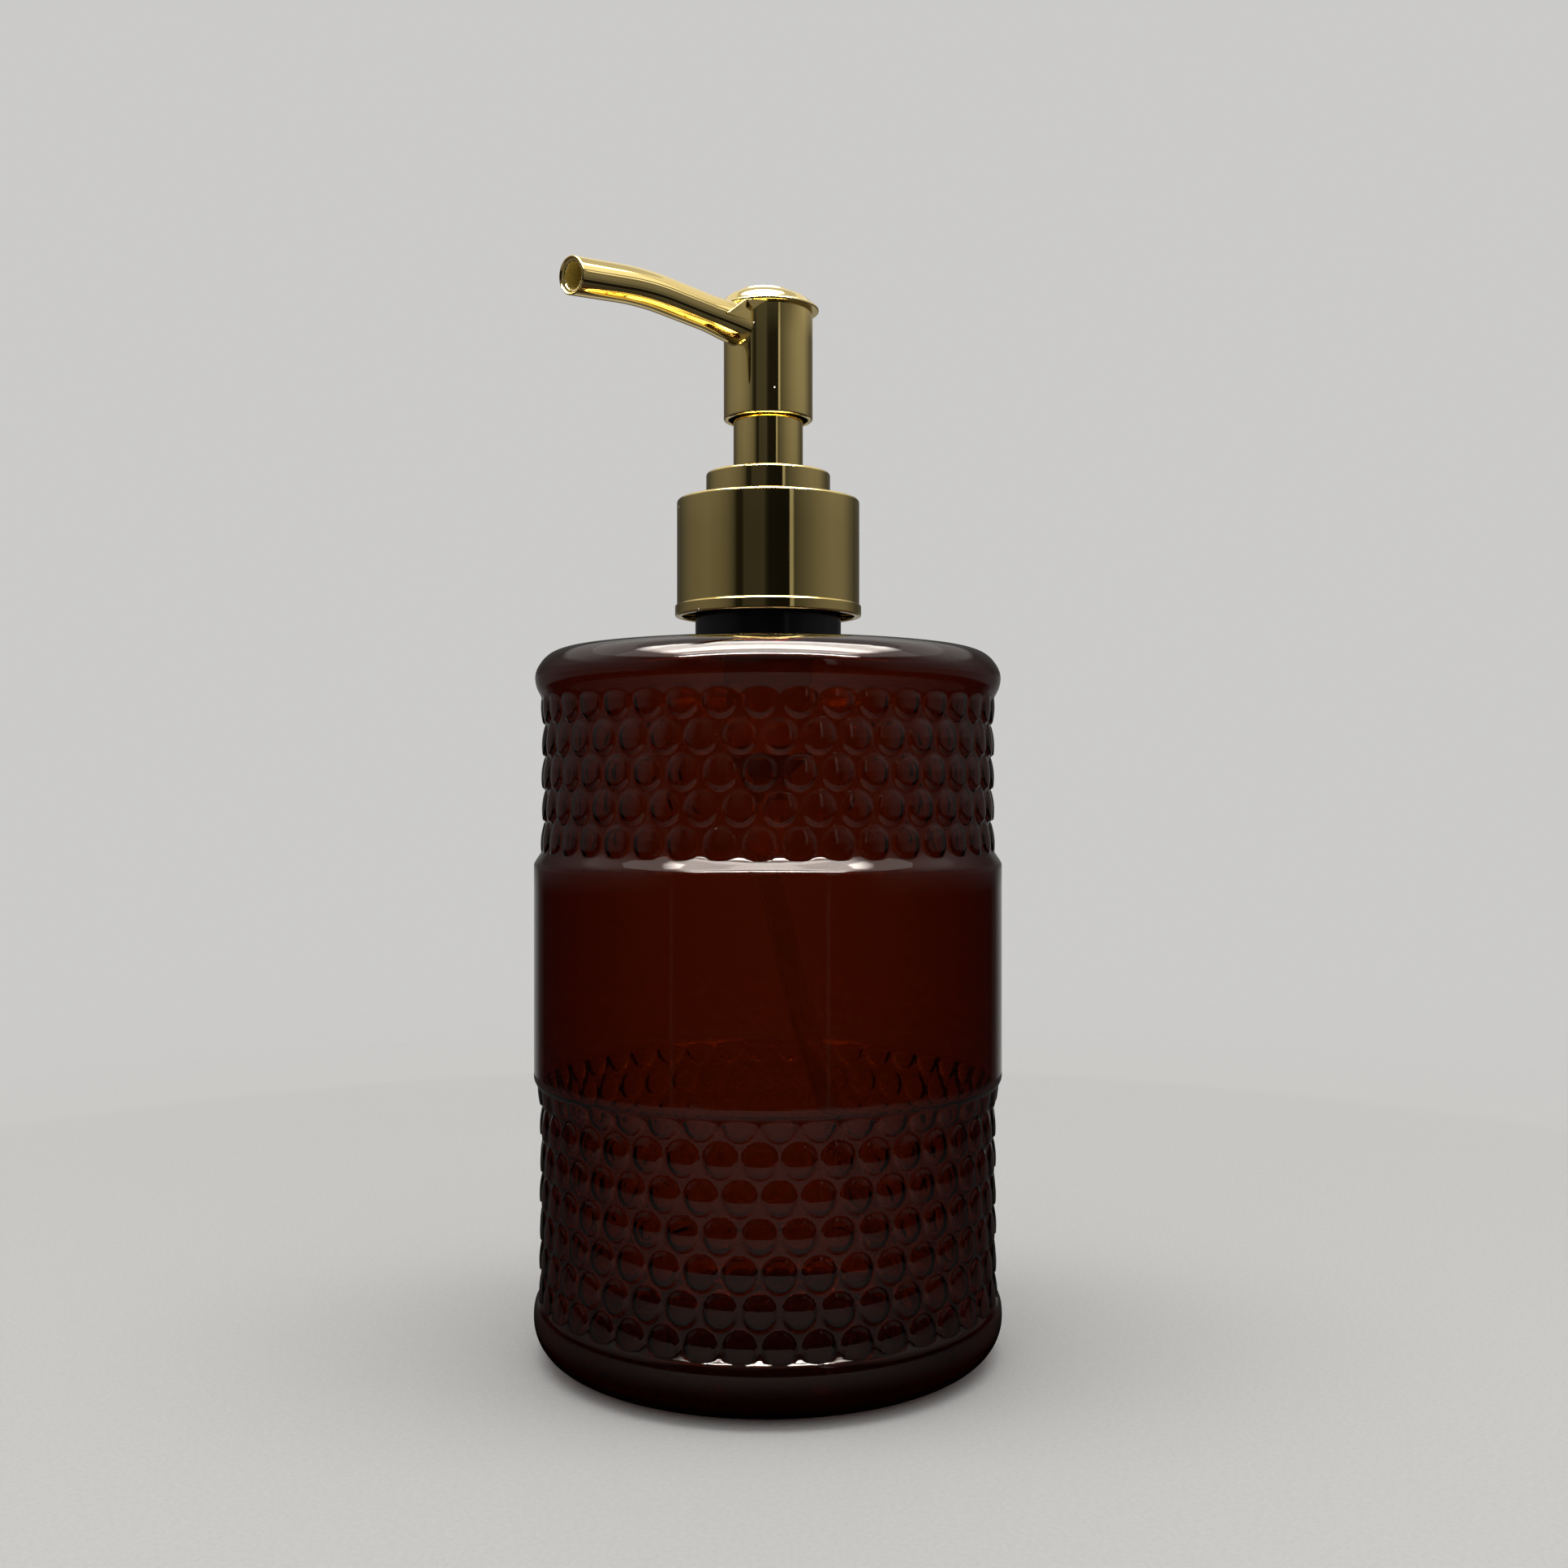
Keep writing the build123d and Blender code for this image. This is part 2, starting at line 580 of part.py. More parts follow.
def make_fairing():
    """Block and side gussets that lead the spout's root up to the top cap."""
    deep = 5.0
    profile = Polyline(
        [
            (-deep, 0, FAIRING_FOOT_Z),
            (-FAIRING_TIP_X, 0, FAIRING_FOOT_Z),
            (-FAIRING_TIP_X, 0, FAIRING_TIP_Z),
            (-FAIRING_TOP_X, 0, HEAD_TOP_Z),
            (-deep, 0, HEAD_TOP_Z),
        ],
        close=True,
    )
    block = extrude(make_face(profile), amount=FAIRING_HALF, both=True)
    plan = Polyline(
        [
            (-1.0, -GUSSET_TOUCH_Y + 1.0, GUSSET_FOOT_Z),
            (-GUSSET_TOUCH_X, -GUSSET_TOUCH_Y, GUSSET_FOOT_Z),
            (-FAIRING_TOP_X, -FAIRING_HALF, GUSSET_FOOT_Z),
            (-FAIRING_TOP_X, FAIRING_HALF, GUSSET_FOOT_Z),
            (-GUSSET_TOUCH_X, GUSSET_TOUCH_Y, GUSSET_FOOT_Z),
            (-1.0, GUSSET_TOUCH_Y - 1.0, GUSSET_FOOT_Z),
        ],
        close=True,
    )
    wedge = extrude(make_face(plan), amount=HEAD_TOP_Z - GUSSET_FOOT_Z)
    for side in (-1, 1):
        top_out = Vector(-FAIRING_TOP_X, side * FAIRING_HALF, HEAD_TOP_Z)
        top_in = Vector(-GUSSET_TOUCH_X, side * GUSSET_TOUCH_Y, HEAD_TOP_Z)
        foot = Vector(-GUSSET_FOOT_X, side * FAIRING_HALF, GUSSET_FOOT_Z)
        normal = (top_in - top_out).cross(foot - top_out)
        if normal.Z < 0:
            normal = normal * -1
        cutter = Plane(origin=top_out, z_dir=normal)
        wedge = split(wedge, bisect_by=cutter, keep=Keep.TOP)
    return block + wedge


def make_head():
    """Pump head: round shell with the spout, its fairing and an inner web."""
    shell = disc(HEAD_R, HEAD_FOOT_Z, HEAD_TOP_Z)
    solid = shell + make_fairing() + spout_bar(SPOUT_R, HEAD_R - 2.0)
    inner_r = HEAD_R - HEAD_WALL
    skirt = disc(inner_r, HEAD_FOOT_Z - 1, HEAD_WEB_Z)
    web_hole = disc(CORE_R + RUNNING, HEAD_WEB_Z - 1, HEAD_TOP_Z)
    cavity = disc(inner_r, HEAD_WEB_Z + HEAD_WEB_T, HEAD_TOP_Z + 1)
    bore = spout_bar(SPOUT_BORE_R, 1.0)
    end = spout_path(1.0)
    mouth_plane = Plane(origin=end @ 1, z_dir=(end % 1) * -1)
    mouth = mouth_plane * Cone(
        SPOUT_R - SPOUT_LIP,
        SPOUT_BORE_R,
        SPOUT_MOUTH_DEPTH,
        align=(Align.CENTER, Align.CENTER, Align.MIN),
    )
    return solid - skirt - web_hole - cavity - bore - mouth


def make_core():
    """Inner piece of the head that joins the stem's bore to the spout's bore."""
    lower = disc(CORE_R, CORE_FOOT_Z, HEAD_WEB_Z + HEAD_WEB_T + 0.1)
    drum = disc(HEAD_R - HEAD_WALL - RUNNING, HEAD_WEB_Z + HEAD_WEB_T, CORE_TOP_Z)
    socket = disc(STEM_R + FIXED, CORE_FOOT_Z - 1, STEM_TOP_Z)
    rise = disc(STEM_BORE_R, STEM_TOP_Z - 0.5, SPOUT_AXIS_Z + SPOUT_BORE_R)
    outlet = spout_bar(SPOUT_BORE_R, 0.2)
    return lower + drum - socket - rise - outlet


def make_top_cap():
    """Domed cap with an overhanging edge and a short skirt inside the head."""
    skirt_r = HEAD_R - HEAD_WALL - RUNNING
    skirt = ring(skirt_r, skirt_r - CAP_SKIRT_T, CORE_TOP_Z, HEAD_TOP_Z + 0.2)
    disc_top = HEAD_TOP_Z + CAP_DISC_T
    plate = disc(CAP_DISC_R, HEAD_TOP_Z, disc_top)
    low = Pos(0, 0, disc_top) * Circle(CAP_DISC_R - 0.1)
    mid = Pos(DOME_MID_SHIFT, 0, DOME_MID_Z) * Circle(DOME_MID_R)
    top = Pos(DOME_TOP_SHIFT, 0, DOME_TOP_Z) * Circle(DOME_TOP_R)
    dome = loft([low, mid, top])
    button = Pos(DOME_TOP_SHIFT, 0, 0) * disc(DISC_R, DOME_TOP_Z - 0.1, DOME_TOP_Z + DISC_T)
    return skirt + plate + dome + button


os.makedirs("parts", exist_ok=True)
PIECES = {
    "bottle": make_bottle,
    "gasket": make_gasket,
    "pump_housing": make_housing,
    "inlet_ball": make_ball,
    "dip_tube": make_dip_tube,
    "screw_cap": make_screw_cap,
    "closure_cover": make_cover,
    "lock_ring": make_lock_ring,
    "stem": make_stem,
    "valve_seat": make_valve_seat,
    "piston": make_piston,
    "return_spring": make_spring,
    "spring_seat": make_spring_seat,
    "stem_sleeve": make_sleeve,
    "head": make_head,
    "head_core": make_core,
    "top_cap": make_top_cap,
}
for name, build in PIECES.items():
    export_step(build(), f"parts/{name}.step")
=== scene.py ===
import math

import bmesh
import bpy
import numpy as np
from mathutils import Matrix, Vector


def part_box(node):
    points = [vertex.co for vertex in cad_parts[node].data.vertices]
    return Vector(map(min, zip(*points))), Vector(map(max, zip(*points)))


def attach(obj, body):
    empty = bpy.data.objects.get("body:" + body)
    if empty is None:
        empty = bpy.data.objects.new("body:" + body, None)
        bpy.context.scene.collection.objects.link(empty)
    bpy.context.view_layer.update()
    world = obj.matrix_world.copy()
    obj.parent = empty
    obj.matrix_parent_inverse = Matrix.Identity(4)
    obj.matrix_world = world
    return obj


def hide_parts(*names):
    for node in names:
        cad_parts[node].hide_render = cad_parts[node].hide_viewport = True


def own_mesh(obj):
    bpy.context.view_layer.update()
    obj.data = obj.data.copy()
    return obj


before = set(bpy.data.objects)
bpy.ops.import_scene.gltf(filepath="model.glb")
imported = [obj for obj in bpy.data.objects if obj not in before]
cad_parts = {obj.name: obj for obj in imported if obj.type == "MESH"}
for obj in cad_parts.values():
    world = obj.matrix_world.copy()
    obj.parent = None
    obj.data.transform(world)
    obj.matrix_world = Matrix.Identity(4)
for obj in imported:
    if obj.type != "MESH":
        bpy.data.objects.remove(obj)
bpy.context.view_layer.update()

MM = 0.001


# ---------------------------------------------------------------- places taken from the frame
def box_mm(node):
    low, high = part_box(node)
    return [v / MM for v in low], [v / MM for v in high]


bottle_high = box_mm("bottle")[1]
cap_high = box_mm("screw_cap")[1]
cover_low, cover_high = box_mm("closure_cover")
lock_low, lock_high = box_mm("lock_ring")
sleeve_low, sleeve_high = box_mm("stem_sleeve")
head_low, head_high = box_mm("head")
top_low = box_mm("top_cap")[0]

NECK_TOP = bottle_high[2]
COVER_R = 16.4
SHELL, ROOF = 0.9, 1.2     # walls of the gold shells, roofs of cover and lock ring
SLEEVE_BORE = 5.65
BEAD_R = cover_high[0]
LOCK_R = lock_high[0]
SLEEVE_R = sleeve_high[0]
HEAD_R = head_high[1]
HEAD_FOOT = head_low[2]
HEAD_TOP = top_low[2] + 0.9


# ---------------------------------------------------------------- camera
VIEW_BACK = Vector((-math.sqrt(0.5), -math.sqrt(0.5), 0))
VIEW_RIGHT = Vector((math.sqrt(0.5), -math.sqrt(0.5), 0))
CAMERA_BACK, CAMERA_RIGHT, CAMERA_HEIGHT = 0.306, 0.00285, 0.101
camera_data = bpy.data.cameras.new("camera")
camera_data.sensor_width = 24.0
camera_data.lens = 26.0
camera_data.clip_start = 0.01
camera_data.clip_end = 20.0
camera = bpy.data.objects.new("camera", camera_data)
camera.location = VIEW_BACK * CAMERA_BACK + VIEW_RIGHT * CAMERA_RIGHT + Vector((0, 0, CAMERA_HEIGHT))
camera.rotation_euler = (math.radians(90), 0, math.radians(-45))
bpy.context.scene.collection.objects.link(camera)
bpy.context.scene.camera = camera
bpy.context.scene.view_settings.view_transform = "Standard"


# ---------------------------------------------------------------- material helpers
class Shader:
    """A Principled material with short calls for the nodes that feed it."""

    def __init__(self, name, **constants):
        self.material = bpy.data.materials.new(name)
        self.material.use_nodes = True
        self.nodes = self.material.node_tree.nodes
        self.links = self.material.node_tree.links
        self.bsdf = self.nodes["Principled BSDF"]
        for socket, value in constants.items():
            self.bsdf.inputs[socket.replace("_", " ")].default_value = value
        self.coords = self.nodes.new("ShaderNodeTexCoord").outputs["Object"]

    def scaled(self, scale):
        node = self.nodes.new("ShaderNodeMapping")
        node.inputs["Scale"].default_value = scale
        self.links.new(self.coords, node.inputs["Vector"])
        return node.outputs["Vector"]

    def noise(self, scale, detail=3.0, rough=0.5, stretch=None):
        node = self.nodes.new("ShaderNodeTexNoise")
        node.inputs["Scale"].default_value = scale
        node.inputs["Detail"].default_value = detail
        node.inputs["Roughness"].default_value = rough
        vector = self.coords if stretch is None else self.scaled(stretch)
        self.links.new(vector, node.inputs["Vector"])
        return node.outputs["Fac"]

    def cells(self, scale):
        node = self.nodes.new("ShaderNodeTexVoronoi")
        node.inputs["Scale"].default_value = scale
        self.links.new(self.coords, node.inputs["Vector"])
        return node.outputs["Distance"], node.outputs["Color"]

    def ramp(self, value, low, high, low_out, high_out):
        node = self.nodes.new("ShaderNodeMapRange")
        sockets = ("From Min", "From Max", "To Min", "To Max")
        for socket, number in zip(sockets, (low, high, low_out, high_out)):
            node.inputs[socket].default_value = number
        self.links.new(value, node.inputs["Value"])
        return node.outputs["Result"]

    def mix(self, factor, first, second):
        node = self.nodes.new("ShaderNodeMix")
        node.data_type = "RGBA"
        self.links.new(factor, node.inputs["Factor"])
        for socket, value in ((node.inputs[6], first), (node.inputs[7], second)):
            if isinstance(value, tuple):
                socket.default_value = (*value, 1)
            else:
                self.links.new(value, socket)
        return node.outputs[2]

    def math(self, operation, first, second):
        node = self.nodes.new("ShaderNodeMath")
        node.operation = operation
        for socket, value in zip(node.inputs, (first, second)):
            if isinstance(value, (int, float)):
                socket.default_value = value
            else:
                self.links.new(value, socket)
        return node.outputs["Value"]

    def feed(self, socket, value):
        self.links.new(value, self.bsdf.inputs[socket])

    def bump(self, height, distance, strength=1.0, under=None):
        node = self.nodes.new("ShaderNodeBump")
        node.inputs["Distance"].default_value = distance
        node.inputs["Strength"].default_value = strength
        self.links.new(height, node.inputs["Height"])
        if under is not None:
            self.links.new(under, node.inputs["Normal"])
        return node.outputs["Normal"]


def specks(shader, scale, chance, size):
    """Factor that is 1 in a few small spots: dust or pinholes."""
    distance, colour = shader.cells(scale)
    split = shader.nodes.new("ShaderNodeSeparateColor")
    shader.links.new(colour, split.inputs["Color"])
    chosen = shader.math("LESS_THAN", split.outputs["Red"], chance)
    near = shader.ramp(distance, size * 0.7, size, 1.0, 0.0)
    return shader.math("MULTIPLY", chosen, near)


AMBER_TINT, AMBER_DENSITY = (0.69, 0.425, 0.06, 1), 5000.0


def make_amber():
    s = Shader("amber_plastic", Base_Color=(1, 1, 1, 1), Transmission_Weight=1.0, IOR=1.57,
               Specular_Tint=(1.0, 0.95, 0.9, 1))
    streak = s.noise(38, 4, 0.55, (1, 1, 0.35))
    fine = s.noise(900, 2)
    s.feed("Roughness", s.ramp(streak, 0.35, 0.75, 0.008, 0.03))
    soft = s.bump(s.noise(70, 2), 0.00004)
    s.feed("Normal", s.bump(fine, 0.0000015, 0.5, soft))
    absorb = s.nodes.new("ShaderNodeVolumeAbsorption")
    absorb.inputs["Color"].default_value = AMBER_TINT
    absorb.inputs["Density"].default_value = AMBER_DENSITY
    out = s.nodes["Material Output"]
    s.links.new(absorb.outputs["Volume"], out.inputs["Volume"])
    return s.material


def make_gold(name, tint=(0.90, 0.70, 0.28), rough=0.035):
    s = Shader(name, Metallic=1.0)
    cloud = s.noise(55, 4, 0.6)
    dust = specks(s, 420, 0.05, 0.12)
    deep = tuple(v * w for v, w in zip(tint, (0.95, 0.92, 0.85)))
    plating = s.mix(s.ramp(cloud, 0.35, 0.7, 0, 1), tint, deep)
    s.feed("Base Color", s.mix(dust, plating, (0.9, 0.88, 0.8)))
    wear = s.noise(240, 5, 0.65, (1, 1, 0.25))
    sheen = s.ramp(wear, 0.4, 0.8, rough, rough + 0.05)
    s.feed("Roughness", s.math("ADD", sheen, s.math("MULTIPLY", dust, 0.5)))
    peel = s.bump(s.noise(200, 2), 0.0000035)
    scratch = s.noise(1500, 2, 0.5, (1, 0.06, 1))
    s.feed("Normal", s.bump(scratch, 0.0000012, 0.6, peel))
    return s.material


def make_moulded(name, colour, rough, bump_scale, bump_depth, **constants):
    s = Shader(name, **constants)
    tone = s.noise(120, 4)
    dark = tuple(v * 0.88 for v in colour)
    s.feed("Base Color", s.mix(s.ramp(tone, 0.3, 0.7, 0, 1), colour, dark))
    s.feed("Roughness", s.ramp(s.noise(300, 3), 0.3, 0.7, rough - 0.06, rough + 0.08))
    s.feed("Normal", s.bump(s.noise(bump_scale, 3), bump_depth))
    return s.material


def make_steel():
    s = Shader("spring_steel", Metallic=1.0)
    drawn = s.noise(900, 3, 0.6, (1, 1, 4))
    s.feed("Base Color", s.mix(drawn, (0.52, 0.52, 0.54), (0.68, 0.68, 0.69)))
    s.feed("Roughness", s.ramp(drawn, 0.3, 0.7, 0.2, 0.34))
    s.feed("Normal", s.bump(drawn, 0.000004))
    return s.material


def make_glass():
    s = Shader("ball_glass", Base_Color=(0.86, 0.93, 0.9, 1), Transmission_Weight=1.0, IOR=1.52)
    s.feed("Roughness", s.ramp(s.noise(500, 3), 0.3, 0.7, 0.01, 0.06))
    s.feed("Normal", s.bump(s.noise(700, 2), 0.000002))
    return s.material


AMBER = make_amber()
GOLD = make_gold("gold_plating")
BARE = make_moulded("bare_bore", (0.42, 0.29, 0.05), 0.35, 900, 0.00001)
BLACK = make_moulded("black_plastic", (0.003, 0.0034, 0.0045), 0.15, 1400, 0.000002, Specular_IOR_Level=0.3)
NATURAL = make_moulded("natural_plastic", (0.80, 0.80, 0.76), 0.38, 1100, 0.000006)
TUBE = make_moulded("tube_plastic", (0.96, 0.96, 0.93), 0.1, 500, 0.000002, Transmission_Weight=1.0, IOR=1.5)
FOAM = make_moulded("gasket_foam", (0.78, 0.78, 0.76), 0.8, 2600, 0.00006)
STEEL = make_steel()
GLASS = make_glass()

NODE_MATERIALS = {
    "gasket": FOAM,
    "pump_housing": NATURAL,
    "inlet_ball": GLASS,
    "dip_tube": TUBE,
    "screw_cap": BLACK,
    "stem": NATURAL,
    "valve_seat": NATURAL,
    "piston": NATURAL,
    "spring_seat": NATURAL,
    "head_core": NATURAL,
}
for node, material in NODE_MATERIALS.items():
    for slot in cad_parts[node].material_slots:
        slot.material = material


# ---------------------------------------------------------------- mesh helpers
def smooth(value, width):
    """Rises from 0 to 1 over width."""
    t = min(1.0, max(0.0, value / width))
    return t * t * (3 - 2 * t)


def add_piece(name, points, faces, body, material, node):
    """A mesh from points in millimetres that stands for a CAD node."""
    mesh = bpy.data.meshes.new(name)
    mesh.from_pydata([(x * MM, y * MM, z * MM) for x, y, z in points], [], faces)
    mesh.validate()
    mesh.polygons.foreach_set("use_smooth", [True] * len(mesh.polygons))
    mesh.materials.append(material)
    piece = bpy.data.objects.new(name, mesh)
    bpy.context.scene.collection.objects.link(piece)
    mesh.set_sharp_from_angle(angle=math.radians(40))
    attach(piece, body)
    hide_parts(node)
    return piece


def rounded_loop(corners, steps=6, guard=0.05):
    """Points of a closed outline whose corners (radius, height, rounding) are rounded."""
    out = []
    count = len(corners)
    for i in range(count):
        before, here, after = corners[i - 1], corners[i], corners[(i + 1) % count]
        p = np.array(here[:2])
        to_before, to_after = np.array(before[:2]) - p, np.array(after[:2]) - p
        len_before, len_after = np.linalg.norm(to_before), np.linalg.norm(to_after)
        u, v = to_before / len_before, to_after / len_after
        size = here[2]
        if size <= 0:
            out.append(tuple(p))
            continue
        angle = math.acos(max(-1, min(1, float(u @ v))))
        reach = size / math.tan(angle / 2)
        centre = p + (u + v) / np.linalg.norm(u + v) * size / math.sin(angle / 2)
        first, last = p + u * reach, p + v * reach
        if len_before > reach + 2 * guard:
            out.append(tuple(first + u * guard))
        a0 = math.atan2(*(first - centre)[::-1])
        turn = math.atan2(*(last - centre)[::-1]) - a0
        turn = (turn + math.pi) % (2 * math.pi) - math.pi
        for k in range(steps + 1):
            a = a0 + turn * k / steps
            out.append((centre[0] + size * math.cos(a), centre[1] + size * math.sin(a)))
        if len_after > reach + 2 * guard:
            out.append(tuple(last + v * guard))
    return out


def lathe_ring(outline, columns):
    """Points and faces of a closed outline turned about Z."""
    points, faces = [], []
    rows = len(outline)
    for r, z in outline:
        for j in range(columns):
            a = 2 * math.pi * j / columns
            points.append((r * math.cos(a), r * math.sin(a), z))
    for i in range(rows):
        k = (i + 1) % rows
        for j in range(columns):
            n = (j + 1) % columns
            faces.append((i * columns + j, i * columns + n, k * columns + n, k * columns + j))
    return points, faces


def lathe_solid(outline, columns):
    """Points and faces of an outline that starts and ends on its own axis; rows may be shifted along X."""
    points, faces = [], []
    rows = outline[1:-1]
    for r, z, shift in rows:
        for j in range(columns):
            a = 2 * math.pi * j / columns
            points.append((r * math.cos(a) + shift, r * math.sin(a), z))
    for i in range(len(rows) - 1):
        for j in range(columns):
            n = (j + 1) % columns
            faces.append((i * columns + j, i * columns + n, (i + 1) * columns + n, (i + 1) * columns + j))
    foot, head = len(points), len(points) + 1
    points += [(outline[0][2], 0, outline[0][1]), (outline[-1][2], 0, outline[-1][1])]
    last = (len(rows) - 1) * columns
    for j in range(columns):
        n = (j + 1) % columns
        faces.append((foot, n, j))
        faces.append((head, last + j, last + n))
    return points, faces


def add_block(points, faces, corners):
    """Adds a convex six-sided block given by its four lower and four upper corners."""
    first = len(points)
    points += corners
    quads = [(3, 2, 1, 0), (4, 5, 6, 7), (0, 1, 5, 4), (1, 2, 6, 5), (2, 3, 7, 6), (3, 0, 4, 7)]
    faces += [tuple(first + k for k in quad) for quad in quads]


def add_web(points, faces, angle, inner_r, outer_r, half, low, high):
    """Adds a radial plate, used for ribs and webs."""
    c, s = math.cos(angle), math.sin(angle)
    plan = [(inner_r, -half), (outer_r, -half), (outer_r, half), (inner_r, half)]
    corners = [(u * c - v * s, u * s + v * c, z) for z in (low, high) for u, v in plan]
    add_block(points, faces, corners)


# ---------------------------------------------------------------- bottle
COLUMNS = 760
WALL = 0.9
BUMP_EDGE = 2.88                        # radius of a bump's outline, before the next two
BUMP_TALL = 1.02                        # stretch in height
BUMP_NARROW = 1.05                      # squeeze in width
ROW_REACH = 3.3                         # no bump reaches further up or down than this
# how far in from its outline a bump takes to rise
FLANK_OUTSIDE, FLANK_INSIDE = 0.32, 0.7
LIFT_INSIDE = 0.92                      # share of a bump's height that the lining shows
ROW_R = 40.0
STEP_DEG = 9.0
ON_DEG, OFF_DEG = 7.6, 3.1
# height, first centre in degrees, radius at the bump's middle, lean (change of radius with height), curve
BUMP_ROWS = [
    (12.25, OFF_DEG, 40.88, -0.11, 0.04),
    (17.95, ON_DEG, 40.78, -0.078, 0.036),
    (23.85, OFF_DEG, 40.74, -0.078, 0.036),
    (29.8, ON_DEG, 40.72, -0.078, 0.036),
    (35.75, OFF_DEG, 40.68, -0.078, 0.036),
    (41.7, ON_DEG, 40.68, -0.078, 0.036),
    (47.5, OFF_DEG, 41.15, 0.05, 0.036),
    (91.5, ON_DEG, 40.52, -0.10, 0.045),
    (97.25, OFF_DEG, 40.4, -0.078, 0.047),
    (102.95, ON_DEG, 40.42, -0.078, 0.047),
    (108.65, OFF_DEG, 40.4, -0.078, 0.047),
    (114.35, ON_DEG, 40.54, 0.02, 0.047),
]
NECK_R = 10.72
THREAD_R, PITCH, TURNS, THREAD_Z = 11.9, 3.175, 1.5, 134.7
FOOT_R, HEEL_R = 34.77, 7.0
FOOT_TOP, FOOT_THICKER = 50, 0.08       # below this height the wall gets a little thicker
LINING_END_R = 12.5                     # outer radius where the lining gives way to the profile of the neck
NECK_FOOT, NECK_STEP = 129.4, 0.3
THREAD_RUN_OUT, THREAD_HALF, THREAD_FLANK = 0.06, 1.0, 0.55

# outer skin from the heel to the neck: radius, height, sampling step
SKIN = [
    (41.77, 7.0, 0.4), (41.76, 7.7, 0.4), (41.71, 8.4, 0.3), (41.6, 9.05, 0.3), (41.42, 9.62, 0.2),
    (41.12, 10.1, 0.12), (40.75, 10.55, 0.12), (40.4, 11.0, 0.12), (40.18, 11.5, 0.2), (40.09, 12.2, 0.3),
    (40.06, 13.2, 0.33), (40.05, 45.2, 0.33), (40.1, 46.2, 0.3), (40.3, 46.95, 0.25), (40.66, 47.5, 0.18),
    (41.08, 48.0, 0.18), (41.44, 48.5, 0.18), (41.67, 49.0, 0.2), (41.76, 49.6, 0.3),
    (41.77, 50.4, 0.5), (41.77, 51.4, 3.0), (41.77, 86.1, 0.4), (41.76, 86.6, 0.2), (41.69, 87.0, 0.13),
    (41.48, 87.42, 0.13), (41.12, 87.97, 0.14), (40.71, 88.58, 0.14), (40.34, 89.18, 0.15),
    (40.05, 89.75, 0.2), (39.86, 90.5, 0.3), (39.78, 91.4, 0.33), (39.75, 92.4, 0.33),
    (39.75, 112.4, 0.33), (39.84, 113.9, 0.3), (40.1, 115.3, 0.3), (40.46, 116.35, 0.28),
    (40.87, 117.15, 0.28), (41.22, 117.9, 0.33), (41.46, 118.8, 0.33), (41.55, 119.6, 0.33),
    (41.48, 120.4, 0.3), (41.3, 121.0, 0.3), (40.95, 121.75, 0.3), (40.45, 122.5, 0.3),
    (39.85, 123.2, 0.35), (38.9, 123.95, 0.5), (37.7, 124.5, 0.7),
    (36.2, 124.9, 1.5), (32.0, 125.4, 3.0), (26.0, 125.9, 3.0), (19.0, 126.15, 2.0), (14.5, 126.3, 0.8),
    (12.4, 126.45, 0.5), (11.5, 126.7, 0.4), (11.0, 127.2, 0.4), (10.78, 127.9, 0.5), (10.72, 128.8, 0.6),
]


def through(points):
    """Smooth row of (radius, height) samples through the given points, with each stretch's own step."""
    out = []
    xy = np.array([p[:2] for p in points], float)
    for i in range(len(points) - 1):
        p0, p1, p2, p3 = xy[max(i - 1, 0)], xy[i], xy[i + 1], xy[min(i + 2, len(xy) - 1)]
        length = np.linalg.norm(p2 - p1)
        m1 = (p2 - p0) / max(np.linalg.norm(p2 - p1) + np.linalg.norm(p1 - p0), 1e-9) * length
        m2 = (p3 - p1) / max(np.linalg.norm(p3 - p2) + np.linalg.norm(p2 - p1), 1e-9) * length
        count = max(1, round(length / points[i][2]))
        for k in range(count):
            t = k / count
            h = (2 * t**3 - 3 * t**2 + 1, t**3 - 2 * t**2 + t, -2 * t**3 + 3 * t**2, t**3 - t**2)
            out.append(h[0] * p1 + h[1] * m1 + h[2] * p2 + h[3] * m2)
    out.append(xy[-1])
    return np.array(out)


def with_bumps(radius, height, angles, scale, edge, inset):
    """Radii of rows and columns with the bump pattern laid over the plain wall."""
    degrees = np.degrees(angles)[None, :]
    plain = np.repeat(radius[:, None], len(angles), 1)
    lift = np.zeros_like(plain)
    for row_z, first, top, lean, curve in BUMP_ROWS:
        rows = np.abs(height - row_z) < ROW_REACH
        if not rows.any():
            continue
        off = (degrees - first + STEP_DEG / 2) % STEP_DEG - STEP_DEG / 2
        across = BUMP_NARROW * ROW_R * np.radians(off)
        up = (height[rows] - row_z)[:, None]
        far = np.sqrt(across**2 + (up / BUMP_TALL)**2)
        cap = top - inset + lean * up - curve * far**2 - plain[rows]
        side = np.clip((BUMP_EDGE - far) / edge, 0, 1)
        side = side * side * (3 - 2 * side)
        lift[rows] = np.maximum(lift[rows], np.maximum(cap, 0) * side * scale)
    return plain + lift


def neck_thread(radius, height, angles):
    """Radii of the neck's rows with the screw thread on them."""
    grid = np.repeat(radius[:, None], len(angles), 1)
    for turn in (0, 1):
        u = angles / (2 * math.pi) + turn
        centre = THREAD_Z + PITCH * u
        fade = np.clip(np.minimum(u, TURNS - u) / THREAD_RUN_OUT, 0, 1)
        slope = np.clip((THREAD_HALF - np.abs(height[:, None] - centre[None, :])) / THREAD_FLANK, 0, 1)
        ridge = NECK_R + (THREAD_R - NECK_R) * slope * fade[None, :]
        grid = np.maximum(grid, np.where((u <= TURNS)[None, :], ridge, 0))
    return grid


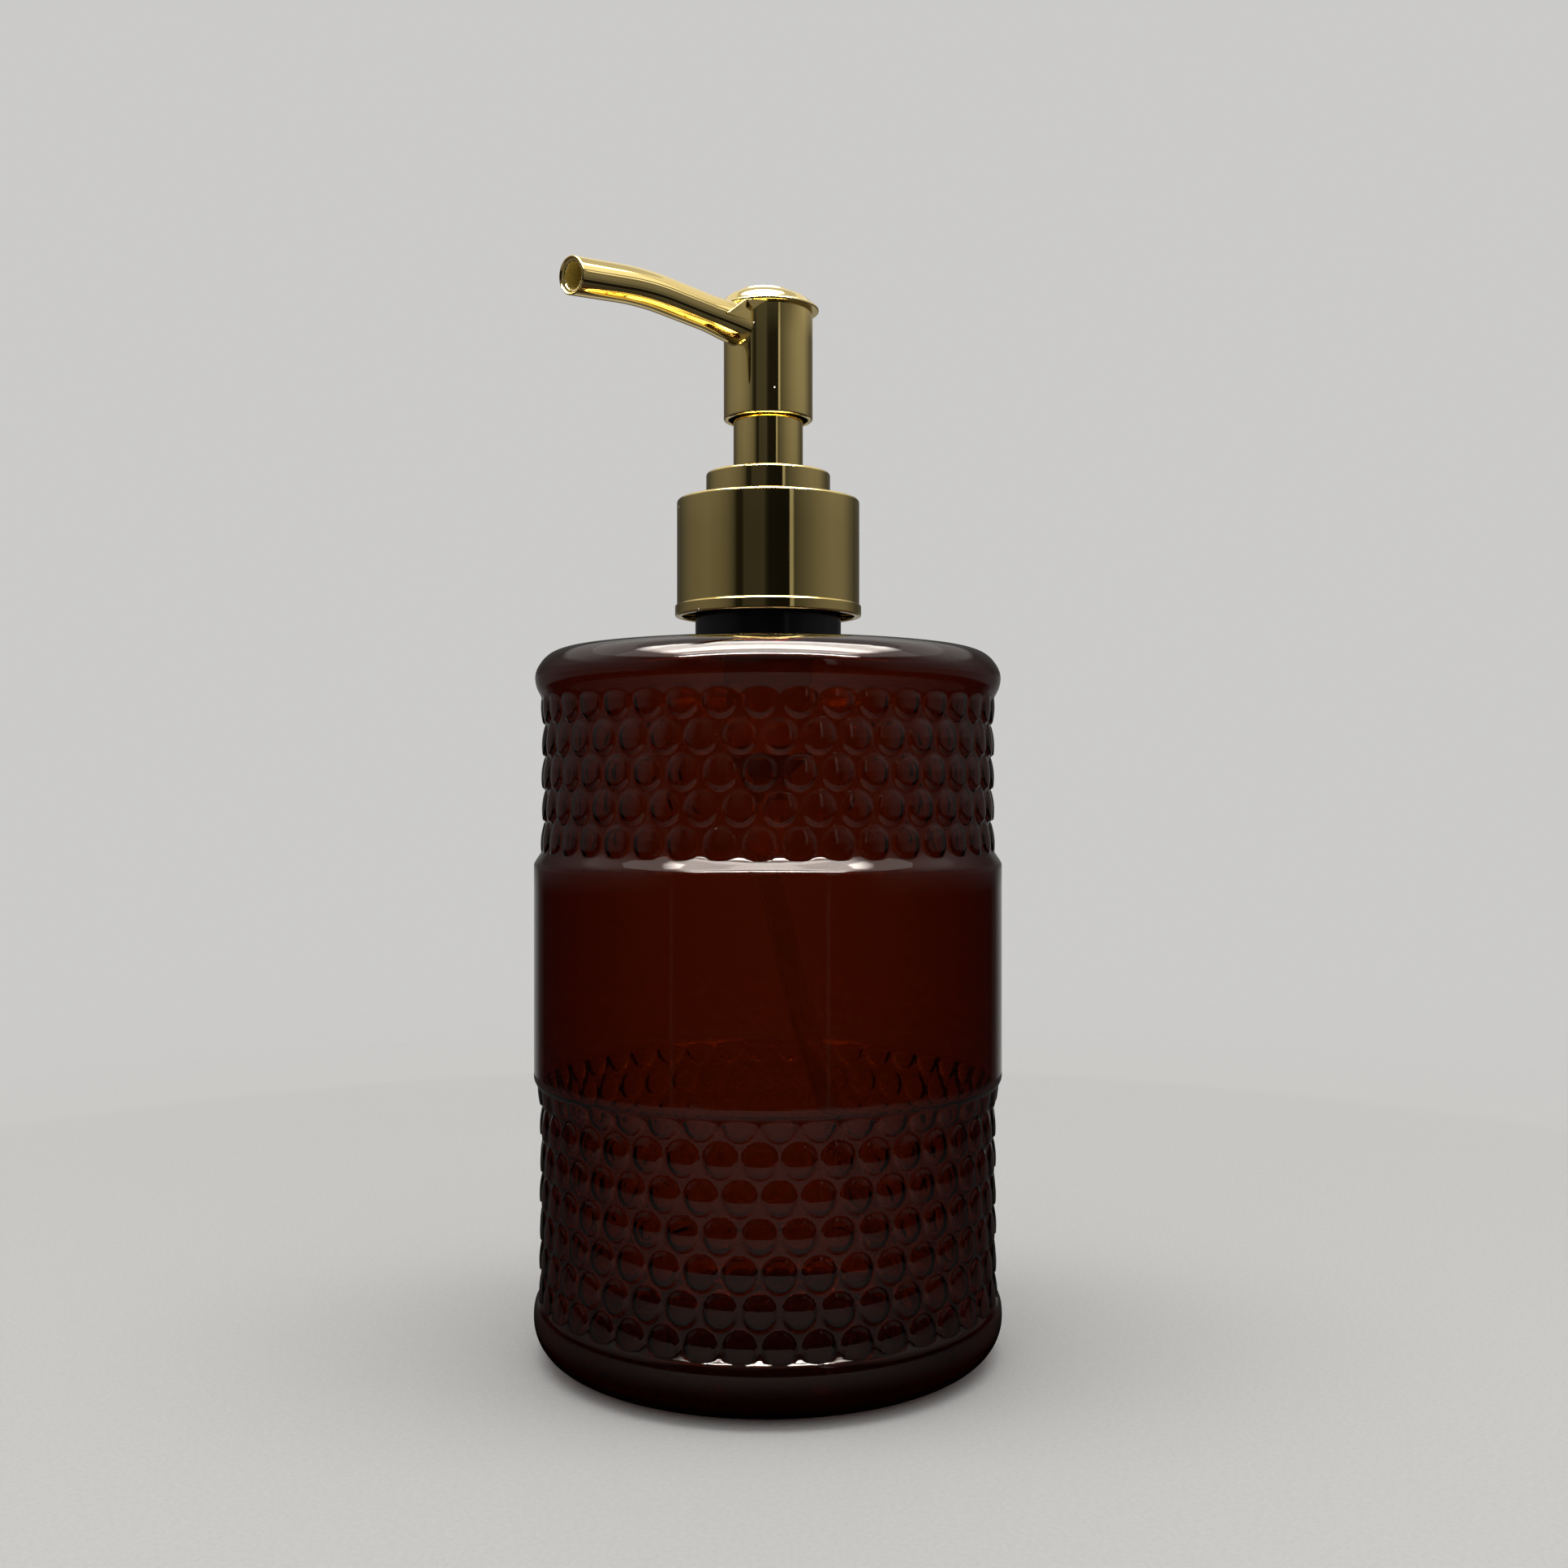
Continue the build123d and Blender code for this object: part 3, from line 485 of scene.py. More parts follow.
def make_bottle():
    angles = np.arange(COLUMNS) * 2 * math.pi / COLUMNS
    push_up = 4.0
    base = [(r, push_up * (1 - (r / 31.6) ** 2)) for r in (1.5, 4, 8, 12, 16, 20, 24, 27, 29, 30.4, 31.2)]
    base += [(31.7, 0.01), (32.5, 0.0), (33.6, 0.0)]
    heel = [
        (FOOT_R + HEEL_R * math.sin(a), HEEL_R - HEEL_R * math.cos(a))
        for a in np.linspace(0, math.pi / 2, 22)[:-1]
    ]
    skin = through(SKIN)
    low_part = np.array(base + heel)
    neck_z = np.arange(NECK_FOOT, NECK_TOP - 0.5, NECK_STEP)
    outer_r = np.concatenate([low_part[:, 0], skin[:, 0]])
    outer_z = np.concatenate([low_part[:, 1], skin[:, 1]])
    outer = with_bumps(outer_r, outer_z, angles, 1.0, FLANK_OUTSIDE, 0.0)
    outer_heights = np.repeat(outer_z[:, None], COLUMNS, 1)
    neck = neck_thread(np.full(len(neck_z), NECK_R), neck_z, angles)
    neck_heights = np.repeat(neck_z[:, None], COLUMNS, 1)
    rim = [(10.72, 142.85), (10.68, 143.02), (10.6, 143.14), (10.48, 143.19), (10.3, 143.2), (9.75, 143.2)]
    rim += [(9.55, 143.17), (9.4, 143.08), (9.32, 142.92), (9.3, 142.7), (9.3, 135.0), (9.3, 128.2)]
    rim += [(9.32, 127.2), (9.45, 126.5), (9.75, 126.0), (10.3, 125.6), (11.1, 125.42)]
    rim_r = np.repeat(np.array(rim)[:, :1], COLUMNS, 1)
    rim_z = np.repeat(np.array(rim)[:, 1:], COLUMNS, 1)

    # lining: the outer outline moved in by the wall, with softer and lower bumps
    outline = np.stack([outer_r, outer_z], 1)
    along = np.gradient(outline, axis=0)
    along /= np.linalg.norm(along, axis=1)[:, None]
    thicker = FOOT_THICKER * np.clip((FOOT_TOP - outer_z) / 4, 0, 1)
    lining = outline + np.stack([-along[:, 1], along[:, 0]], 1) * (WALL + thicker)[:, None]
    keep = (outline[:, 0] > LINING_END_R) | (outline[:, 1] < FOOT_TOP)
    lining = lining[keep][::-2]
    inner = with_bumps(lining[:, 0], lining[:, 1], angles, LIFT_INSIDE, FLANK_INSIDE, WALL)
    inner_heights = np.repeat(lining[:, 1][:, None], COLUMNS, 1)

    radii = np.concatenate([outer, neck, rim_r, inner])
    heights = np.concatenate([outer_heights, neck_heights, rim_z, inner_heights])
    rows = len(radii)
    x = radii * np.cos(angles)[None, :]
    y = radii * np.sin(angles)[None, :]
    points = np.stack([x, y, heights], 2).reshape(-1, 3)
    points = np.concatenate([points, [(0, 0, push_up), (0, 0, push_up + WALL)]]) * MM
    i, j = np.meshgrid(np.arange(rows - 1), np.arange(COLUMNS), indexing="ij")
    n = (j + 1) % COLUMNS
    quads = np.stack([i * COLUMNS + j, i * COLUMNS + n, (i + 1) * COLUMNS + n, (i + 1) * COLUMNS + j], 2)
    quads = quads.reshape(-1, 4)
    j = np.arange(COLUMNS)
    n = (j + 1) % COLUMNS
    first, last = rows * COLUMNS, rows * COLUMNS + 1
    end = (rows - 1) * COLUMNS
    fans = np.concatenate([
        np.stack([np.full(COLUMNS, first), n, j], 1),
        np.stack([np.full(COLUMNS, last), end + j, end + n], 1),
    ])
    mesh = bpy.data.meshes.new("bottle_blown")
    mesh.vertices.add(len(points))
    mesh.vertices.foreach_set("co", points.ravel())
    corner_vertices = np.concatenate([quads.ravel(), fans.ravel()])
    mesh.loops.add(len(corner_vertices))
    mesh.loops.foreach_set("vertex_index", corner_vertices)
    mesh.polygons.add(len(quads) + len(fans))
    starts = np.concatenate([np.arange(len(quads)) * 4, len(quads) * 4 + np.arange(len(fans)) * 3])
    mesh.polygons.foreach_set("loop_start", starts)
    mesh.update(calc_edges=True)
    mesh.validate()
    mesh.polygons.foreach_set("use_smooth", [True] * len(mesh.polygons))
    mesh.materials.append(AMBER)
    piece = bpy.data.objects.new("bottle_blown", mesh)
    bpy.context.scene.collection.objects.link(piece)
    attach(piece, "bottle")
    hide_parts("bottle")


make_bottle()


# ---------------------------------------------------------------- closure cover
def make_cover():
    foot, top = cover_low[2], cover_high[2]
    bore = COVER_R - SHELL
    hole = LOCK_R + 0.3
    corners = [
        (bore, foot, 0.2), (BEAD_R - 0.02, foot, 0.3), (BEAD_R - 0.02, foot + 1.95, 0.25),
        (COVER_R, foot + 2.1, 0.12), (COVER_R, top, 0.5), (hole, top, 0.15),
        (hole, top - ROOF, 0.1), (bore, top - ROOF, 0.3),
    ]
    points, faces = lathe_ring(rounded_loop(corners), 256)
    grip = cap_high[0] + 0.02
    ribs = 16
    for k in range(ribs):
        angle = 2 * math.pi * k / ribs
        add_web(points, faces, angle, grip, COVER_R - 0.5, 0.45, foot + 1.6, cap_high[2])
        add_web(points, faces, angle, LOCK_R + 0.6, COVER_R - 0.5, 0.45, cap_high[2], top - 0.5)
    add_piece("cover_shell", points, faces, "closure", GOLD, "closure_cover")


# ---------------------------------------------------------------- lock ring
def make_lock_ring():
    low, top = cap_high[2] + 0.05, lock_high[2]
    plug_r, bore, guide_r = 6.98, 6.33, 4.05
    ledge, snap_low, snap_high, snap_r = 143.0, 149.4, 150.4, 8.6
    points, faces = lathe_ring(
        rounded_loop([
            (LOCK_R - 1.0, low, 0.1), (LOCK_R, low, 0.1), (LOCK_R, top, 0.5), (bore, top, 0.25),
            (bore, ledge, 0.05), (guide_r, ledge, 0.05),
            (guide_r, lock_low[2], 0.1), (plug_r, lock_low[2], 0.1),
            (plug_r, snap_low, 0), (snap_r, snap_low, 0.1), (snap_r, snap_high, 0.1), (plug_r, snap_high, 0),
            (plug_r, top - ROOF, 0.1), (LOCK_R - 1.0, top - ROOF, 0.1),
        ]),
        224,
    )
    guide_out, guide_low, guide_top = 5.2, 142.5, 152.0
    corners = [
        (guide_r, guide_low, 0.05), (guide_out, guide_low, 0.05),
        (guide_out, guide_top, 0.2), (guide_r, guide_top, 0.1),
    ]
    guide, guide_faces = lathe_ring(rounded_loop(corners), 96)
    faces += [tuple(k + len(points) for k in face) for face in guide_faces]
    points += guide
    webs = 6
    for k in range(webs):
        add_web(points, faces, 2 * math.pi * k / webs, plug_r - 0.3, LOCK_R - 0.5, 0.5, snap_low, top - 0.6)
    add_piece("lock_collar", points, faces, "pump_body", GOLD, "lock_ring")


# ---------------------------------------------------------------- stem sleeve
def make_sleeve():
    low, top = sleeve_low[2], sleeve_high[2]
    corners = [(SLEEVE_BORE, low, 0.1), (SLEEVE_R, low, 0.25), (SLEEVE_R, top, 0.1), (SLEEVE_BORE, top, 0.1)]
    points, faces = lathe_ring(rounded_loop(corners), 160)
    add_piece("sleeve_tube", points, faces, "plunger", GOLD, "stem_sleeve")


# ---------------------------------------------------------------- return spring
WIRE_R, SPRING_TURNS = 0.4, 9
# turns closed at each end, turns in which they open, gap between closed turns
END_TURN, OPENING, END_TURN_GAP = 0.7, 0.6, 0.02


def make_spring():
    """Return spring on its seat, with closed end turns; it shortens as the head goes down."""
    low, high = box_mm("return_spring")
    steps, sides = 60, 14
    radius = high[0] - WIRE_R
    closed = 2 * WIRE_R + END_TURN_GAP
    height = high[2] - low[2] - 2 * WIRE_R
    along = [(i + 0.5) / steps for i in range(SPRING_TURNS * steps)]
    open_share = [smooth(t - END_TURN, OPENING) * smooth(SPRING_TURNS - END_TURN - t, OPENING) for t in along]
    pitch = (height * steps - closed * sum(1 - w for w in open_share)) / sum(open_share)
    z = low[2] + WIRE_R
    points, faces = [], []
    for i in range(SPRING_TURNS * steps + 1):
        a = 2 * math.pi * i / steps
        for k in range(sides):
            b = 2 * math.pi * k / sides
            out = radius + WIRE_R * math.cos(b)
            points.append((out * math.cos(a), out * math.sin(a), z + WIRE_R * math.sin(b)))
        if i < SPRING_TURNS * steps:
            z += (closed + (pitch - closed) * open_share[i]) / steps
    for i in range(SPRING_TURNS * steps):
        for k in range(sides):
            n = (k + 1) % sides
            faces.append((i * sides + k, (i + 1) * sides + k, (i + 1) * sides + n, i * sides + n))
    last = SPRING_TURNS * steps * sides
    faces += [tuple(range(sides)), tuple(last + k for k in reversed(range(sides)))]
    piece = add_piece("coil_spring", points, faces, "spring", STEEL, "return_spring")
    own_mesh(piece)


# ---------------------------------------------------------------- head, spout and fairing
SPOUT_R, SPOUT_BORE = 3.15, 1.9
ROOT_R = 3.6
SPOUT_START = 6.9
SEAM_HEIGHT, SEAM_HALF_DEG, SEAM_PLACE_DEG = 0.035, 3.4, 7.4
FLARE_FROM, FLARE_LENGTH = -15.5, 8.0
AXIS_Z = HEAD_TOP - 4.4
KNEE, REACH, BEND_R = 29.7, 44.7, 60.0
RISE, FALL = math.radians(5.6), math.radians(4.6)
SEAM = [90 + k for k in (-6.0, -4.2, -3.0, -1.6, 0, 1.6, 3.0, 4.2, 6.0)]


def spout_frames():
    """Points and directions along the spout's centre line, from the head to the mouth."""
    turn = RISE + FALL
    reach = BEND_R * math.tan(turn / 2)
    up = np.array([-math.cos(RISE), math.sin(RISE)])
    down = np.array([-math.cos(FALL), -math.sin(FALL)])
    root = np.array([0.0, AXIS_Z])
    knee = root + up * KNEE / math.cos(RISE)
    mouth = knee + down * (REACH - KNEE) / math.cos(FALL)
    start = root + up * SPOUT_START
    frames = [(start + (knee - up * reach - start) * t, RISE) for t in np.linspace(0, 1, 24)]
    centre = knee - up * reach - np.array([math.sin(RISE), math.cos(RISE)]) * BEND_R
    for t in np.linspace(0, 1, 14)[1:]:
        a = RISE - turn * t
        frames.append((centre + np.array([math.sin(a), math.cos(a)]) * BEND_R, a))
    bend_end = frames[-1][0]
    frames += [(bend_end + (mouth - bend_end) * t, -FALL) for t in np.linspace(0, 1, 10)[1:]]
    return frames


def make_spout():
    step = 3.75
    plain = [k * step for k in range(96) if abs(k * step % 180 - 90) > SEAM_PLACE_DEG]
    around = sorted(plain + SEAM + [360 - a for a in SEAM])
    columns = len(around)
    frames = spout_frames()
    points, faces = [], []

    def add_row(centre, tilt, radius, back=0.0, wobble=0.0, seam=0.0):
        along = np.array([-math.cos(tilt), math.sin(tilt)])
        side_up = np.array([math.sin(tilt), math.cos(tilt)])
        middle = centre - along * back
        for degrees in around:
            a = math.radians(degrees)
            ragged = wobble * (math.sin(5 * a + 0.6) + 0.7 * math.sin(11 * a + 2.1) + 0.6 * math.sin(19 * a))
            r = radius + ragged
            r += seam * max(0.0, 1 - (abs(degrees % 180 - 90) / SEAM_HALF_DEG) ** 2)
            spot = middle + side_up * r * math.cos(a) + along * ragged * 1.2
            points.append((spot[0], r * math.sin(a), spot[1]))

    rows = 0
    for centre, tilt in frames[:-1]:
        flare = smooth(centre[0] - FLARE_FROM, FLARE_LENGTH)
        add_row(centre, tilt, SPOUT_R + (ROOT_R - SPOUT_R) * flare, seam=SEAM_HEIGHT * (1 - flare))
        rows += 1
    centre, tilt = frames[-1]
    lip = [
        (SPOUT_R, 0.30, 0), (SPOUT_R, 0.20, 0), (SPOUT_R - 0.02, 0.12, 0), (SPOUT_R - 0.06, 0.05, 0),
        (SPOUT_R - 0.12, 0.01, 0), (SPOUT_R - 0.18, 0.0, 0), (SPOUT_R - 0.24, 0.02, 0),
        (SPOUT_R - 0.29, 0.08, 0),
        (2.83, 0.18, 0), (2.78, 0.26, 0), (2.7, 0.3, 0), (2.5, 0.34, 0.008), (2.36, 0.38, 0.02),
        (2.26, 0.42, 0.04), (2.19, 0.5, 0.05), (2.13, 0.62, 0.06), (2.1, 0.8, 0.05), (2.08, 1.0, 0.03),
        (2.05, 1.5, 0.02), (1.95, 2.6, 0.01), (SPOUT_BORE, 4.5, 0),
    ]
    for radius, back, wobble in lip:
        add_row(centre, tilt, radius, back, wobble)
        rows += 1
    bore_from = rows - 7
    for centre, tilt in frames[-6:1:-2]:
        add_row(centre, tilt, SPOUT_BORE)
        rows += 1
    for i in range(rows - 1):
        for j in range(columns):
            n = (j + 1) % columns
            faces.append((i * columns + j, (i + 1) * columns + j, (i + 1) * columns + n, i * columns + n))
    faces.append(tuple(range(columns)))
    faces.append(tuple((rows - 1) * columns + j for j in reversed(range(columns))))
    piece = add_piece("spout_tube", points, faces, "plunger", GOLD, "head")
    piece.data.materials.append(BARE)
    for k, polygon in enumerate(piece.data.polygons):
        if bore_from * columns <= k < (rows - 1) * columns or k == len(piece.data.polygons) - 1:
            polygon.material_index = 1


def make_root_bead():
    """Fine fillet where the underside of the spout meets the head."""
    points, faces = [], []
    steps, ring, thick = 40, 8, 0.16
    line = []
    for k in range(steps + 1):
        a = math.radians(92 + 176 * k / steps)
        across = ROOT_R * math.sin(a)
        out = -math.sqrt(HEAD_R**2 - across**2)
        line.append(np.array([out, across, AXIS_Z - out * math.tan(RISE) + ROOT_R * math.cos(a)]))
    for k, spot in enumerate(line):
        along = line[min(k + 1, steps)] - line[max(k - 1, 0)]
        along /= np.linalg.norm(along)
        side = np.cross(along, (-1, 0, 0.1))
        side /= np.linalg.norm(side)
        other = np.cross(along, side)
        size = thick * math.sin(math.pi * (k + 0.6) / (steps + 1.2)) ** 0.4
        for j in range(ring):
            b = 2 * math.pi * j / ring
            points.append(tuple(spot + side * math.cos(b) * size + other * math.sin(b) * size))
    for k in range(steps):
        for j in range(ring):
            n = (j + 1) % ring
            faces.append((k * ring + j, k * ring + n, (k + 1) * ring + n, (k + 1) * ring + j))
    faces.append(tuple(reversed(range(ring))))
    faces.append(tuple(steps * ring + j for j in range(ring)))
    add_piece("spout_fillet", points, faces, "plunger", GOLD, "head")


def hull_piece(name, groups, bevel):
    """Joins convex blocks, each the hull of its corners with slightly broken edges."""
    whole = bmesh.new()
    for corners in groups:
        block = bmesh.new()
        for corner in corners:
            block.verts.new([v * MM for v in corner])
        made = bmesh.ops.convex_hull(block, input=block.verts)
        inside = {g for g in made["geom_interior"] if isinstance(g, bmesh.types.BMVert)}
        bmesh.ops.delete(block, geom=list(inside), context="VERTS")
        bmesh.ops.dissolve_limit(
            block, angle_limit=math.radians(1), verts=block.verts, edges=block.edges
        )
        bmesh.ops.bevel(
            block, geom=list(block.edges), offset=bevel * MM, segments=3, profile=0.6, affect="EDGES"
        )
        part = bpy.data.meshes.new("part")
        block.to_mesh(part)
        whole.from_mesh(part)
        block.free()
        bpy.data.meshes.remove(part)
    bmesh.ops.recalc_face_normals(whole, faces=whole.faces)
    mesh = bpy.data.meshes.new(name)
    whole.to_mesh(mesh)
    whole.free()
    mesh.polygons.foreach_set("use_smooth", [True] * len(mesh.polygons))
    mesh.set_sharp_from_angle(angle=math.radians(25))
    mesh.materials.append(GOLD)
    piece = bpy.data.objects.new(name, mesh)
    bpy.context.scene.collection.objects.link(piece)
    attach(piece, "plunger")
    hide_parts("head")


def make_fairing():
    top = HEAD_TOP - 0.01
    half, front, slope_top = ROOT_R, -13.1, -8.9
    block = [
        (x, side * half, z)
        for side in (-1, 1)
        for x, z in (
            (-5, AXIS_Z + 0.5), (front, AXIS_Z + 1.25), (front, HEAD_TOP - 3.45), (slope_top, top), (-5, top),
        )
    ]
    groups = [block]
    for side in (-1, 1):
        groups.append([
            (slope_top, side * half, top), (-2.9, side * 7.5, top), (-7.1, side * half, HEAD_TOP - 1.5),
            (-3.0, side * 2.5, top), (-3.0, side * 2.5, HEAD_TOP - 1.5),
        ])
    hull_piece("spout_fairing", groups, 0.07)


def make_head():
    bore = HEAD_R - SHELL
    web = HEAD_FOOT + 10.7
    web_top = web + 1.6
    corners = [
        (bore, HEAD_FOOT, 0.3), (HEAD_R, HEAD_FOOT, 0.42), (HEAD_R, HEAD_TOP, 0.05),
        (bore, HEAD_TOP, 0.05), (bore, web_top, 0.1), (SLEEVE_BORE, web_top, 0.05), (SLEEVE_BORE, web, 0.05),
        (bore, web, 0.3),
    ]
    points, faces = lathe_ring(rounded_loop(corners), 224)
    add_piece("head_shell", points, faces, "plunger", GOLD, "head")


def make_top_cap():
    z = HEAD_TOP
    rows = [
        (0, z, 0), (5.9, z, 0), (6.05, z - 0.05, 0), (6.05, z - 0.85, 0), (6.1, z - 0.9, 0),
        (6.98, z - 0.9, 0), (7.05, z - 0.83, 0), (7.05, z - 0.02, 0), (7.1, z, 0), (8.86, z, 0),
        (8.92, z, 0), (9.0, z + 0.03, 0), (9.07, z + 0.1, 0), (9.1, z + 0.2, 0), (9.1, z + 0.38, 0),
        (9.07, z + 0.5, 0), (8.98, z + 0.6, -0.02), (8.86, z + 0.68, -0.04), (8.6, z + 0.9, -0.1),
        (8.35, z + 1.15, -0.2), (8.0, z + 1.55, -0.33), (7.6, z + 1.95, -0.45), (7.1, z + 2.28, -0.6),
        (6.5, z + 2.58, -0.75), (5.9, z + 2.8, -0.88), (5.4, z + 2.94, -0.97), (5.12, z + 3.0, -1.0),
        (4.98, z + 3.03, -1.0), (4.9, z + 3.1, -1.0), (4.86, z + 3.2, -1.0), (4.8, z + 3.32, -1.0),
        (4.68, z + 3.41, -1.0), (4.5, z + 3.46, -1.0), (4.2, z + 3.485, -1.0), (3.0, z + 3.495, -1.0),
        (1.5, z + 3.5, -1.0), (0, z + 3.5, -1.0),
    ]
    points, faces = lathe_solid(rows, 192)
    add_piece("cap_dome", points, faces, "plunger", GOLD, "top_cap")


make_cover()
make_lock_ring()
make_sleeve()
make_spring()
make_head()
make_spout()
make_root_bead()
make_fairing()
make_top_cap()


# ---------------------------------------------------------------- floor, world and lights
def stage_object(name, points, faces, material):
    mesh = bpy.data.meshes.new(name)
    mesh.from_pydata(points, [], faces)
    mesh.polygons.foreach_set("use_smooth", [True] * len(mesh.polygons))
    mesh.materials.append(material)
    item = bpy.data.objects.new(name, mesh)
    bpy.context.scene.collection.objects.link(item)
    return item


WORLD_GREY = (0.60, 0.595, 0.585)
FLOOR_R, FLOOR_Z = 0.6, -0.00004
FADE_FROM, FADE_TO = 0.13, 0.55
world = bpy.data.worlds.new("studio")
bpy.context.scene.world = world
world.use_nodes = True
world.node_tree.nodes["Background"].inputs["Color"].default_value = (*WORLD_GREY, 1)
world.node_tree.nodes["Background"].inputs["Strength"].default_value = 1.0


def make_floor():
    s = Shader("floor_paper", Roughness=0.85)
    s.feed("Base Color", s.mix(s.ramp(s.noise(1200, 4), 0.3, 0.7, 0, 1), WORLD_GREY, (0.56, 0.555, 0.545)))
    s.feed("Normal", s.bump(s.noise(2200, 4, 0.6), 0.00008))
    length = s.nodes.new("ShaderNodeVectorMath")
    length.operation = "LENGTH"
    s.links.new(s.coords, length.inputs[0])
    fade = s.nodes.new("ShaderNodeMapRange")
    fade.interpolation_type = "SMOOTHSTEP"
    fade.inputs["From Min"].default_value = FADE_FROM
    fade.inputs["From Max"].default_value = FADE_TO
    s.links.new(length.outputs["Value"], fade.inputs["Value"])
    clear = s.nodes.new("ShaderNodeBsdfTransparent")
    blend = s.nodes.new("ShaderNodeMixShader")
    s.links.new(fade.outputs["Result"], blend.inputs["Fac"])
    s.links.new(s.bsdf.outputs["BSDF"], blend.inputs[1])
    s.links.new(clear.outputs["BSDF"], blend.inputs[2])
    s.links.new(blend.outputs["Shader"], s.nodes["Material Output"].inputs["Surface"])
    columns = 96
    points = [(0, 0, FLOOR_Z)]
    for j in range(columns):
        a = 2 * math.pi * j / columns
        points.append((FLOOR_R * math.cos(a), FLOOR_R * math.sin(a), FLOOR_Z))
    faces = [(0, 1 + j, 1 + (j + 1) % columns) for j in range(columns)]
    stage_object("floor", points, faces, s.material)


# What reflections see, painted on a round screen that nothing else sees. The greys were tuned until
# the gold and the bottle reflected what they do in the photo; under other light the part looks different.
# Angles run from the side of the photo's camera (0) to the right (+), greys are radiances.
LOW = [
    (-180, 0.55), (-160, 0.45), (-148, 0.25), (-138, 0.05), (-130, 0.008), (-43.2, 0.006), (-42.6, 0.045),
    (-41.6, 0.045), (-41, 0.006), (25.6, 0.006), (26.1, 0.06), (27.1, 0.06), (27.6, 0.006), (130, 0.008),
    (138, 0.05), (148, 0.25), (160, 0.45), (180, 0.55),
]
SIDES = [
    (-180, 0.3), (-140, 0.08), (-60, 0.10), (-40, 0.012), (40, 0.012), (60, 0.10), (140, 0.08), (180, 0.3),
]
MIDDLE = [
    (-180, 0.10), (-142, 0.05), (-126, 0.085), (-110, 0.12), (-80, 0.145), (-62, 0.125), (-50, 0.095),
    (-43, 0.06), (-37.5, 0.012), (-31, 0.010), (-28.5, 0.034), (-5, 0.036), (-1.5, 0.014), (2, 0.007),
    (26, 0.006), (27, 0.30), (30.5, 0.26), (32, 0.05), (50, 0.095), (66, 0.14), (85, 0.17),
    (105, 0.165), (121, 0.10), (136, 0.05), (180, 0.10),
]
HIGH = [(-180, 0.9), (-105, 0.9), (-85, 0.5), (-60, 0.16), (60, 0.16), (85, 0.5), (105, 0.9), (180, 0.9)]
NEAR_FLOOR = [
    (-180, 0.12), (-140, 0.04), (-100, 0.035), (-60, 0.10), (-30, 0.18), (0, 0.195), (30, 0.18), (60, 0.10),
    (100, 0.035), (140, 0.04), (180, 0.12),
]
SCREEN_R, NEAR_Z = 0.30, 0.0004
# radius, height, table, factor; the floor rows fade to black towards the bottle's foot, a painted contact
# shadow that reflections see
SCREEN_ROWS = [
    (0.034, NEAR_Z, NEAR_FLOOR, 0.0), (0.044, NEAR_Z, NEAR_FLOOR, 0.01), (0.052, NEAR_Z, NEAR_FLOOR, 0.35),
    (0.065, NEAR_Z, NEAR_FLOOR, 0.75), (0.090, NEAR_Z, NEAR_FLOOR, 1.0), (0.19, NEAR_Z, NEAR_FLOOR, 1.0),
    (0.299, NEAR_Z, NEAR_FLOOR, 0.95), (SCREEN_R, 0.001, LOW, 1.0), (SCREEN_R, 0.065, LOW, 1.0),
    (SCREEN_R, 0.08, SIDES, 1.0), (SCREEN_R, 0.135, SIDES, 1.0), (SCREEN_R, 0.15, MIDDLE, 1.0),
    (SCREEN_R, 0.19, MIDDLE, 1.0), (SCREEN_R, 0.24, MIDDLE, 1.55), (SCREEN_R, 0.258, MIDDLE, 1.65),
    (SCREEN_R, 0.28, HIGH, 0.5), (SCREEN_R, 0.36, HIGH, 0.7), (1.0, 0.36, HIGH, 1.0), (1.0, 0.80, HIGH, 1.0),
    (0.5, 0.80, HIGH, 1.0),
]


PAINT_GREEN, PAINT_BLUE = 0.98, 0.94    # share of the grey, for a slightly warm white


def glow_material(name):
    """Emission painted by the colours of the mesh, for the screen and the highlight faces: painted
    reflections and highlights.
    """
    material = bpy.data.materials.new(name)
    material.use_nodes = True
    nodes, links = material.node_tree.nodes, material.node_tree.links
    nodes.clear()
    attribute = nodes.new("ShaderNodeVertexColor")
    attribute.layer_name = "grey"
    glow = nodes.new("ShaderNodeEmission")
    links.new(attribute.outputs["Color"], glow.inputs["Color"])
    out = nodes.new("ShaderNodeOutputMaterial")
    links.new(glow.outputs["Emission"], out.inputs["Surface"])
    return material


def only_reflections(item, greys):
    layer = item.data.color_attributes.new("grey", "FLOAT_COLOR", "POINT")
    layer.data.foreach_set("color", [v for g in greys for v in (g, g * PAINT_GREEN, g * PAINT_BLUE, 1)])
    item.visible_camera = False
    item.visible_diffuse = False
    item.visible_transmission = False
    item.visible_volume_scatter = False
    item.visible_shadow = False


def make_screen():
    columns = 720
    points, greys, faces = [], [], []
    psi = [-180 + 360 * j / columns for j in range(columns)]
    for radius, z, table, factor in SCREEN_ROWS:
        row = np.interp(psi, [p for p, _ in table], [g for _, g in table]) * factor
        for j in range(columns):
            a = math.radians(psi[j])
            spot = (VIEW_BACK * math.cos(a) + VIEW_RIGHT * math.sin(a)) * radius
            points.append((spot.x, spot.y, z))
            greys.append(float(row[j]))
    for i in range(len(SCREEN_ROWS) - 1):
        for j in range(columns):
            n = (j + 1) % columns
            faces.append((i * columns + j, i * columns + n, (i + 1) * columns + n, (i + 1) * columns + j))
    item = stage_object("reflection_screen", points, faces, glow_material("screen_paint"))
    only_reflections(item, greys)
